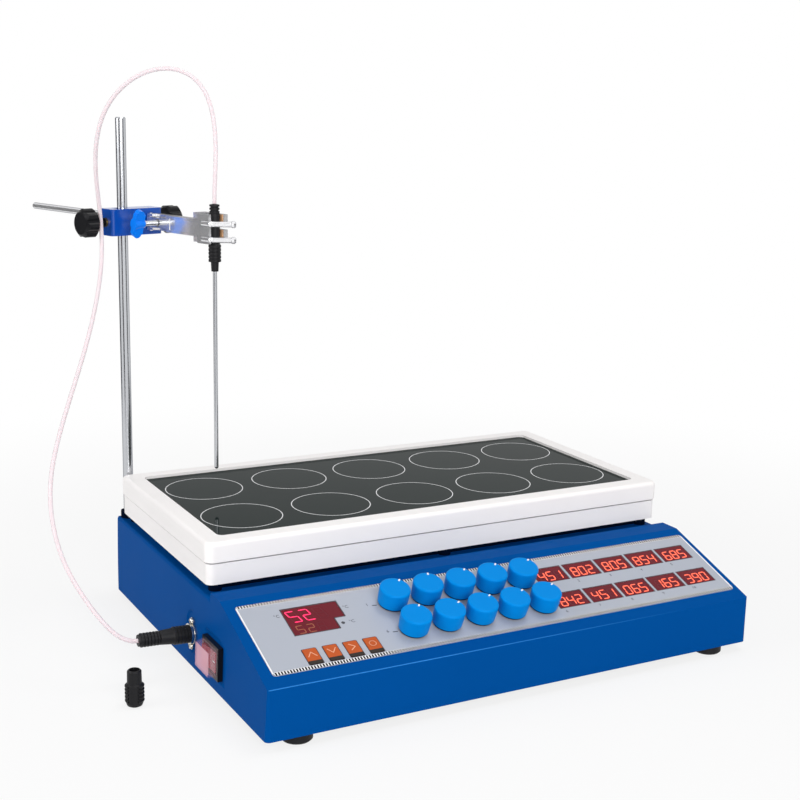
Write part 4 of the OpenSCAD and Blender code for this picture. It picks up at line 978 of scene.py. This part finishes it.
def comb_growth():
    """Two rows of short printed ticks."""
    growth = Growth(
        "comb",
        [
            ("Count", "Int", 10), ("Pitch", "Float", 2.2), ("Width", "Float", 1.1), ("Length", "Float", 2.5),
            ("Thickness", "Float", 0.1), ("Row Distance", "Float", 80.0),
        ],
    )
    size = growth.node(
        "ShaderNodeCombineXYZ", X=growth.given["Width"], Y=growth.given["Length"], Z=growth.given["Thickness"]
    )
    tick = growth.node("GeometryNodeMeshCube", Size=size.outputs[0])
    step = growth.node("ShaderNodeCombineXYZ", X=growth.given["Pitch"])
    row = growth.node(
        "GeometryNodeMeshLine", Count=growth.given["Count"], Offset=step.outputs[0]
    )
    ticks = growth.node("GeometryNodeInstanceOnPoints", Points=row.outputs[0], Instance=tick.outputs[0])
    shift = growth.node("ShaderNodeCombineXYZ", Y=growth.given["Row Distance"])
    second = growth.node("GeometryNodeTransform", Geometry=ticks.outputs[0], Translation=shift.outputs[0])
    both = growth.node("GeometryNodeJoinGeometry", Geometry=ticks.outputs[0])
    growth.tree.links.new(second.outputs[0], both.inputs[0])
    growth.close(both.outputs[0], ink_black)
    return growth


def ring_growth():
    """A grid of thin printed rings."""
    growth = Growth(
        "place_rings",
        [
            ("Columns", "Int", 5), ("Rows", "Int", 2), ("Width", "Float", 368.0), ("Depth", "Float", 100.0),
            ("Radius", "Float", 38.0), ("Line", "Float", 0.8), ("Thickness", "Float", 0.1),
        ],
    )
    circle = growth.node("GeometryNodeCurvePrimitiveCircle", Resolution=96, Radius=growth.given["Radius"])
    section = growth.node(
        "GeometryNodeCurvePrimitiveQuadrilateral", Width=growth.given["Line"],
        Height=growth.given["Thickness"],
    )
    ring = growth.node("GeometryNodeCurveToMesh", Curve=circle.outputs[0], Profile_Curve=section.outputs[0])
    grid = growth.node(
        "GeometryNodeMeshGrid", Size_X=growth.given["Width"], Size_Y=growth.given["Depth"],
        Vertices_X=growth.given["Columns"], Vertices_Y=growth.given["Rows"],
    )
    rings = growth.node("GeometryNodeInstanceOnPoints", Points=grid.outputs[0], Instance=ring.outputs[0])
    growth.close(rings.outputs[0], ink_white)
    return growth


TICK_PITCH = 2.65
TICK_MARGIN = 3.0


def lettering(text, size):
    """Plain figures as a thin closed mesh on the XY plane, in millimetres."""
    curve = bpy.data.curves.new("figures", "FONT")
    curve.body = text
    curve.size = size
    curve.extrude = 0.05
    curve.resolution_u = 3
    curve.align_x = "CENTER"
    return frozen(link("figures", curve))


def outline_strokes(shape, corners, width):
    """A thin line round a window or a key, on the overlay: print round the windows, painted shade round the
    keys.
    """
    shape.stroke(corners + corners[:1], width, OVERLAY_T - 0.1, OVERLAY_T + 0.06)


TEMP_STEPS = [(48.8, 56.2), (90.3, 56.2), (90.3, 70.0), (100.8, 70.0), (100.8, 90.0), (48.8, 90.0)]


def make_window_lines():
    """Dark printed lines round the temperature window and the speed windows, and painted shade in the gap
    round the keys.
    """
    lines = Shape()
    outside = [(x + (0.5 if x > 60 else -0.5), y + (0.5 if y > 80 else -0.5)) for x, y in TEMP_STEPS]
    outline_strokes(lines, outside, 0.9)
    for row in ROWS:
        for k in range(5):
            x = READOUT_X + k * READOUT_PITCH
            left, right = x - 0.4, x + READOUT_W + 0.4
            low, high = row - READOUT_L / 2 - 0.4, row + READOUT_L / 2 + 0.4
            outline_strokes(lines, rectangle(left, low, right, high), 0.6)
    # Painted shade: a dark line in the gap round each key.
    for k in range(4):
        x = KEY_X + k * KEY_PITCH
        ring = rounded_outline(x - 0.5, KEY_LOW - 0.5, x + KEY_W + 0.5, KEY_LOW + KEY_L + 0.5, 1.3, 3)
        outline_strokes(lines, ring, 0.6)
    piece("window_lines", lines, face, "console", ink_and_shade_dark_red)


TICK_LENGTH = 3.4


def make_overlay_print():
    """Tick rows on white strips, light side borders, place numbers and small marks on the overlay."""
    (x0, x1), (u0, u1) = OVERLAY_X, OVERLAY_U
    run = x1 - x0 - 2 * TICK_MARGIN
    ticks = comb_growth().grow(
        Count=int(run / TICK_PITCH) + 1, Pitch=TICK_PITCH, Width=1.5, Length=TICK_LENGTH, Thickness=0.1,
        Row_Distance=u1 - u0 - TICK_LENGTH - 0.3,
    )
    start = moved(x0 + TICK_MARGIN, u0 + TICK_LENGTH / 2 + 0.15, OVERLAY_T + 0.05)
    piece("overlay_ticks", Shape().add(ticks, start), face, "console", ink_black)
    borders = Shape()
    for x in (x0, x1 - 1.3):
        side = rounded_outline(x, u0 + 2.5, x + 1.3, u1 - 2.5, 0.6, 3)
        borders.prism(side, OVERLAY_T - 0.1, OVERLAY_T + 0.05)
    for u in (u0 + 0.15, u1 - TICK_LENGTH - 0.45):
        strip = rounded_outline(x0 + 1.8, u, x1 - 1.8, u + TICK_LENGTH + 0.3, 0.5, 3)
        borders.prism(strip, OVERLAY_T - 0.1, OVERLAY_T + 0.03)
    piece("overlay_borders", borders, face, "console", ink_white)
    labels = Shape()
    for row, first in zip(ROWS, (1, 6)):
        for k in range(5):
            x = READOUT_X + k * READOUT_PITCH + 3.5
            labels.add(lettering(str(first + k), 4.4), moved(x, row - 16.4, OVERLAY_T))
    for k, figure in ((0, "1"), (5, "6")):
        x, u = knob_place(k)
        labels.add(lettering(figure, 4.8), moved(x - 23.0, u + 2.0, OVERLAY_T))
        labels.stroke([(x - 18.4, u + 1.6), (x - 15.0, u + 1.2)], 0.9, -0.05 + OVERLAY_T, 0.06 + OVERLAY_T)
    labels.add(lettering("°C", 5.0), moved(42.6, 81.4, OVERLAY_T))
    labels.add(lettering("°C", 5.0), moved(106.6, 79.2, OVERLAY_T))
    labels.add(lettering("°C", 5.0), moved(104.2, 60.0, OVERLAY_T))
    labels.lathe([(0, -0.05), (1.7, -0.05), (1.7, 0.06), (0, 0.06)], 24, moved(95.7, 61.6, OVERLAY_T))
    piece("overlay_figures", labels, face, "console", ink_grey, crease=20)
    make_window_lines()


PLACE_RADIUS = 38.0


def make_place_rings():
    (px, py), (mx, my) = PLACE_PITCH, PLACE_MIDDLE
    rings = ring_growth().grow(
        Columns=PLACE_COLUMNS, Rows=PLACE_ROWS, Width=px * (PLACE_COLUMNS - 1), Depth=py * (PLACE_ROWS - 1),
        Radius=PLACE_RADIUS, Line=0.8, Thickness=0.1,
    )
    piece(
        "place_rings", Shape().add(rings, moved(mx, my, GLASS_Z)), corner, "console", ink_white
    )


# Fittings


def make_side_fittings():
    wall = wall_frame(*PORT)
    screws = Shape()
    for x in (-12, 12):
        at = moved(x, 0, 0.6)
        screws.lathe([(0, 0), (2.6, 0), (2.6, 0.5)] + arc(0.9, 0.5, 1.7, 0, 80, 5) + [(0, 2.2)], 32, at)
    piece("socket_screws", screws, wall, "console", nickel, soften=0.1)
    slots = Shape()
    for x in (-12, 12):
        for length, width in ((2.6, 0.6), (0.6, 2.6)):
            slots.prism(rectangle(x - length / 2, -width / 2, x + length / 2, width / 2), 2.4, 2.84)
    piece("socket_screw_slots", slots, wall, "console", ink_black)
    make_rocker_marks()


ROCKER_PIVOT = -4.0
ROCKER_HALF_SWING = 9.5
ROCKER_FACE = 7.5


def make_rocker_marks():
    """A bar for on and a ring for off, each printed on its half of the rocker."""
    level = wall_frame(*SWITCH) @ moved(0, 0, ROCKER_PIVOT) @ turned(ROCKER_HALF_SWING, "X")
    marks = Shape()
    for side in (-1, 1):
        # Each half of the rocker's face slopes up from the valley in its middle.
        tilt = level @ moved(0, 0, ROCKER_FACE) @ turned(side * ROCKER_HALF_SWING, "X")
        part = Shape()
        if side < 0:
            part.stroke([(0, -10.4), (0, -6.6)], 0.8, -0.05, 0.1)
        else:
            part.stroke(arc(0, 8.4, 1.9, 0, 360, 24), 0.6, -0.05, 0.1)
        part.bm.transform(tilt)
        mesh = bpy.data.meshes.new("rocker_mark")
        part.bm.to_mesh(mesh)
        part.bm.free()
        marks.add(mesh, Matrix.Identity(4))
        bpy.data.meshes.remove(mesh)
    piece("rocker_marks", marks, Matrix.Identity(4), "rocker", ink_white)


def make_inlet_blades():
    """Metal sleeves over the three contacts in the appliance inlet."""
    blades = Shape()
    for x, low in ((-7, -8.0), (0, -4.0), (7, -8.0)):
        blades.prism(rounded_outline(x - 1.1, low - 0.1, x + 1.1, low + 4.1, 0.4, 3), -15.0, -1.9)
    piece("inlet_blades", blades, back, "console", nickel, soften=0.2)


def dress_nodes():
    """CAD nodes whose shape is right keep it and get their finish."""
    dress(blue_paint, "housing_shell")
    dress(white_paint, "lower_tray", "upper_tray")
    dress(dark_plate, "base_plate")
    dress(zinc, "case_screws", "speed_pots", "stir_motors")
    dress(aluminium, "motor_deck", "heater_plate", *[f"stir_drive_{k + 1}" for k in range(10)])
    dress(rubber, "rubber_feet", "cable_plug", "spare_plug", "probe_grip")
    dress(overlay_print, "control_overlay")
    dress(window, "temperature_display", "speed_displays")
    dress(board, "control_board")
    dress(glass, "glass_plate")
    dress(polished_steel, "support_rod", "probe_tube")
    dress(boss_paint, "boss_head")
    dress(chrome, "clamp_arm", "moving_jaw")
    dress(cork, "jaw_pads")
    dress(nickel, "sensor_socket")
    dress(plastic, "power_switch", "mains_inlet", "fuse_drawer")
    outwards = direction_of(clamp, (1, 0, 0))
    along = in_row(clamp)
    star = finish(
        "star_knob", linear(20, 20, 23), 0.3, drift=0.1, drift_scale=60.0, grain=1500.0, relief=0.14,
        second=(BRASS, 0.25, 1.0), bands=[(along, outwards, -21.0 * MM, 39.0 * MM)], Specular_IOR_Level=0.2,
    )
    dress(star, "rod_screw", "arm_screw")
    wing = finish(
        "wing_screw_cap", linear(0, 122, 240), 0.3, drift=0.04, drift_scale=60.0, grain=900.0, relief=0.1,
        second=(STEEL, 0.2, 1.0), bands=[(along, outwards, 3.6 * MM, 1.0)], Specular_IOR_Level=0.2,
    )
    dress(wing, "wing_screw")
    rocker = finish(
        "rocker_red", linear(134, 16, 36), 0.14, drift=0.08, drift_scale=60.0, grain=500.0, relief=0.03,
        Coat_Weight=0.3, Coat_Roughness=0.05, Subsurface_Weight=0.2, Subsurface_Radius=(0.004, 0.001, 0.001),
        Subsurface_Scale=0.5,
    )
    dress(rocker, "power_rocker")
    dress(clear_cap, "switch_cap")


# Stage


class Plain(Tree):
    """A cleared node tree of a material or world, with its shader fed to the output."""

    def __init__(self, owner, output):
        owner.use_nodes = True
        self.tree = owner.node_tree
        self.tree.nodes.clear()
        self.output = self.tree.nodes.new(output)
        self.rays = self.tree.nodes.new("ShaderNodeLightPath").outputs

    def show(self, share, first, second):
        mixed = self.node("ShaderNodeMixShader", i0=share, i1=first.outputs[0], i2=second.outputs[0])
        self.tree.links.new(mixed.outputs[0], self.output.inputs["Surface"])


WHITE = (1.0, 1.0, 1.0, 1.0)


def make_stage():
    """A white floor that keeps the object's shadow near it and is plain white further out."""
    bpy.ops.mesh.primitive_plane_add(size=12.0)
    floor = bpy.context.object
    floor.name = "floor"
    material = bpy.data.materials.new("floor_white")
    look = Plain(material, "ShaderNodeOutputMaterial")
    seen = look.maths("MAXIMUM", look.rays["Is Camera Ray"], look.rays["Is Glossy Ray"])
    place = look.node("ShaderNodeTexCoord").outputs["Object"]
    away = look.node("ShaderNodeVectorMath", {"operation": "LENGTH"}, i0=place).outputs["Value"]
    fade = look.node(
        "ShaderNodeMapRange", {"interpolation_type": "SMOOTHSTEP"}, Value=away, From_Min=0.35, From_Max=1.1,
        To_Min=0.8, To_Max=1.0,
    ).outputs[0]
    matt = look.node("ShaderNodeBsdfDiffuse", Color=(0.8, 0.8, 0.8, 1.0))
    white = look.node("ShaderNodeEmission", Color=WHITE, Strength=1.0)
    look.show(look.maths("MULTIPLY", seen, fade), matt, white)
    floor.data.materials.append(material)


def make_world():
    """A surround that is white where the camera or a mirror sees it, and dimmer as a light."""
    world = bpy.data.worlds.new("surround")
    bpy.context.scene.world = world
    look = Plain(world, "ShaderNodeOutputWorld")
    direct = look.maths("MAXIMUM", look.rays["Is Camera Ray"], look.rays["Is Transmission Ray"])
    light = look.node("ShaderNodeBackground", Color=WHITE, Strength=0.38)
    white = look.node("ShaderNodeBackground", Color=WHITE, Strength=1.0)
    look.show(look.maths("MAXIMUM", direct, look.rays["Is Glossy Ray"]), light, white)


def aim(thing, place, target):
    """Puts a lamp or a card at a place and turns it towards the target."""
    thing.location = place
    thing.rotation_euler = (Vector(target) - Vector(place)).to_track_quat("-Z", "Y").to_euler()


def lamp(name, place, target, size, power):
    data = bpy.data.lights.new(name, "AREA")
    data.shape = "RECTANGLE"
    data.size, data.size_y = size
    data.energy = power
    aim(link(name, data), place, target)


def dark_card(name, place, target, size):
    """A dark card that only mirrors see, so that polished metal shows its form."""
    bpy.ops.mesh.primitive_plane_add(size=1.0)
    card = bpy.context.object
    card.name = name
    card.scale = (size[0], size[1], 1.0)
    aim(card, place, target)
    card.visible_camera = False
    card.visible_diffuse = False
    card.visible_shadow = False
    card.visible_transmission = False
    material = bpy.data.materials.new(name)
    material.use_nodes = True
    shader = material.node_tree.nodes["Principled BSDF"]
    shader.inputs["Base Color"].default_value = (0.05, 0.05, 0.05, 1.0)
    shader.inputs["Roughness"].default_value = 1.0
    card.data.materials.append(material)


def light_scene():
    middle = (0.0, 0.0, 0.15)
    lamp("key", (0.45, -0.2, 2.3), middle, (0.9, 0.9), 15.0)
    lamp("front", (-0.5, -2.2, 1.0), middle, (1.6, 1.2), 35.0)
    lamp("left", (-2.0, 0.2, 1.0), middle, (1.2, 1.2), 15.0)
    rod = (ROD_CENTRE[0], ROD_CENTRE[1], 0.8)
    for k, (turn, width) in enumerate(((-29, 0.42), (-116, 0.55), (60, 0.3))):
        # Turned about the rod from the line that runs to the camera, to the right as the camera sees it.
        angle = math.radians(turn - 17.0)
        reach = Vector((math.sin(angle), -math.cos(angle), 0.0)) * 0.95
        dark_card(f"dark_card_{k + 1}", Vector(rod) + reach, rod, (width, 1.6))


make_camera()
make_cable()
dress_nodes()
make_knobs()
make_keys()
make_readouts()
make_overlay_print()
make_place_rings()
make_side_fittings()
make_inlet_blades()
make_stage()
make_world()
light_scene()
bpy.context.scene.view_settings.view_transform = "Standard"
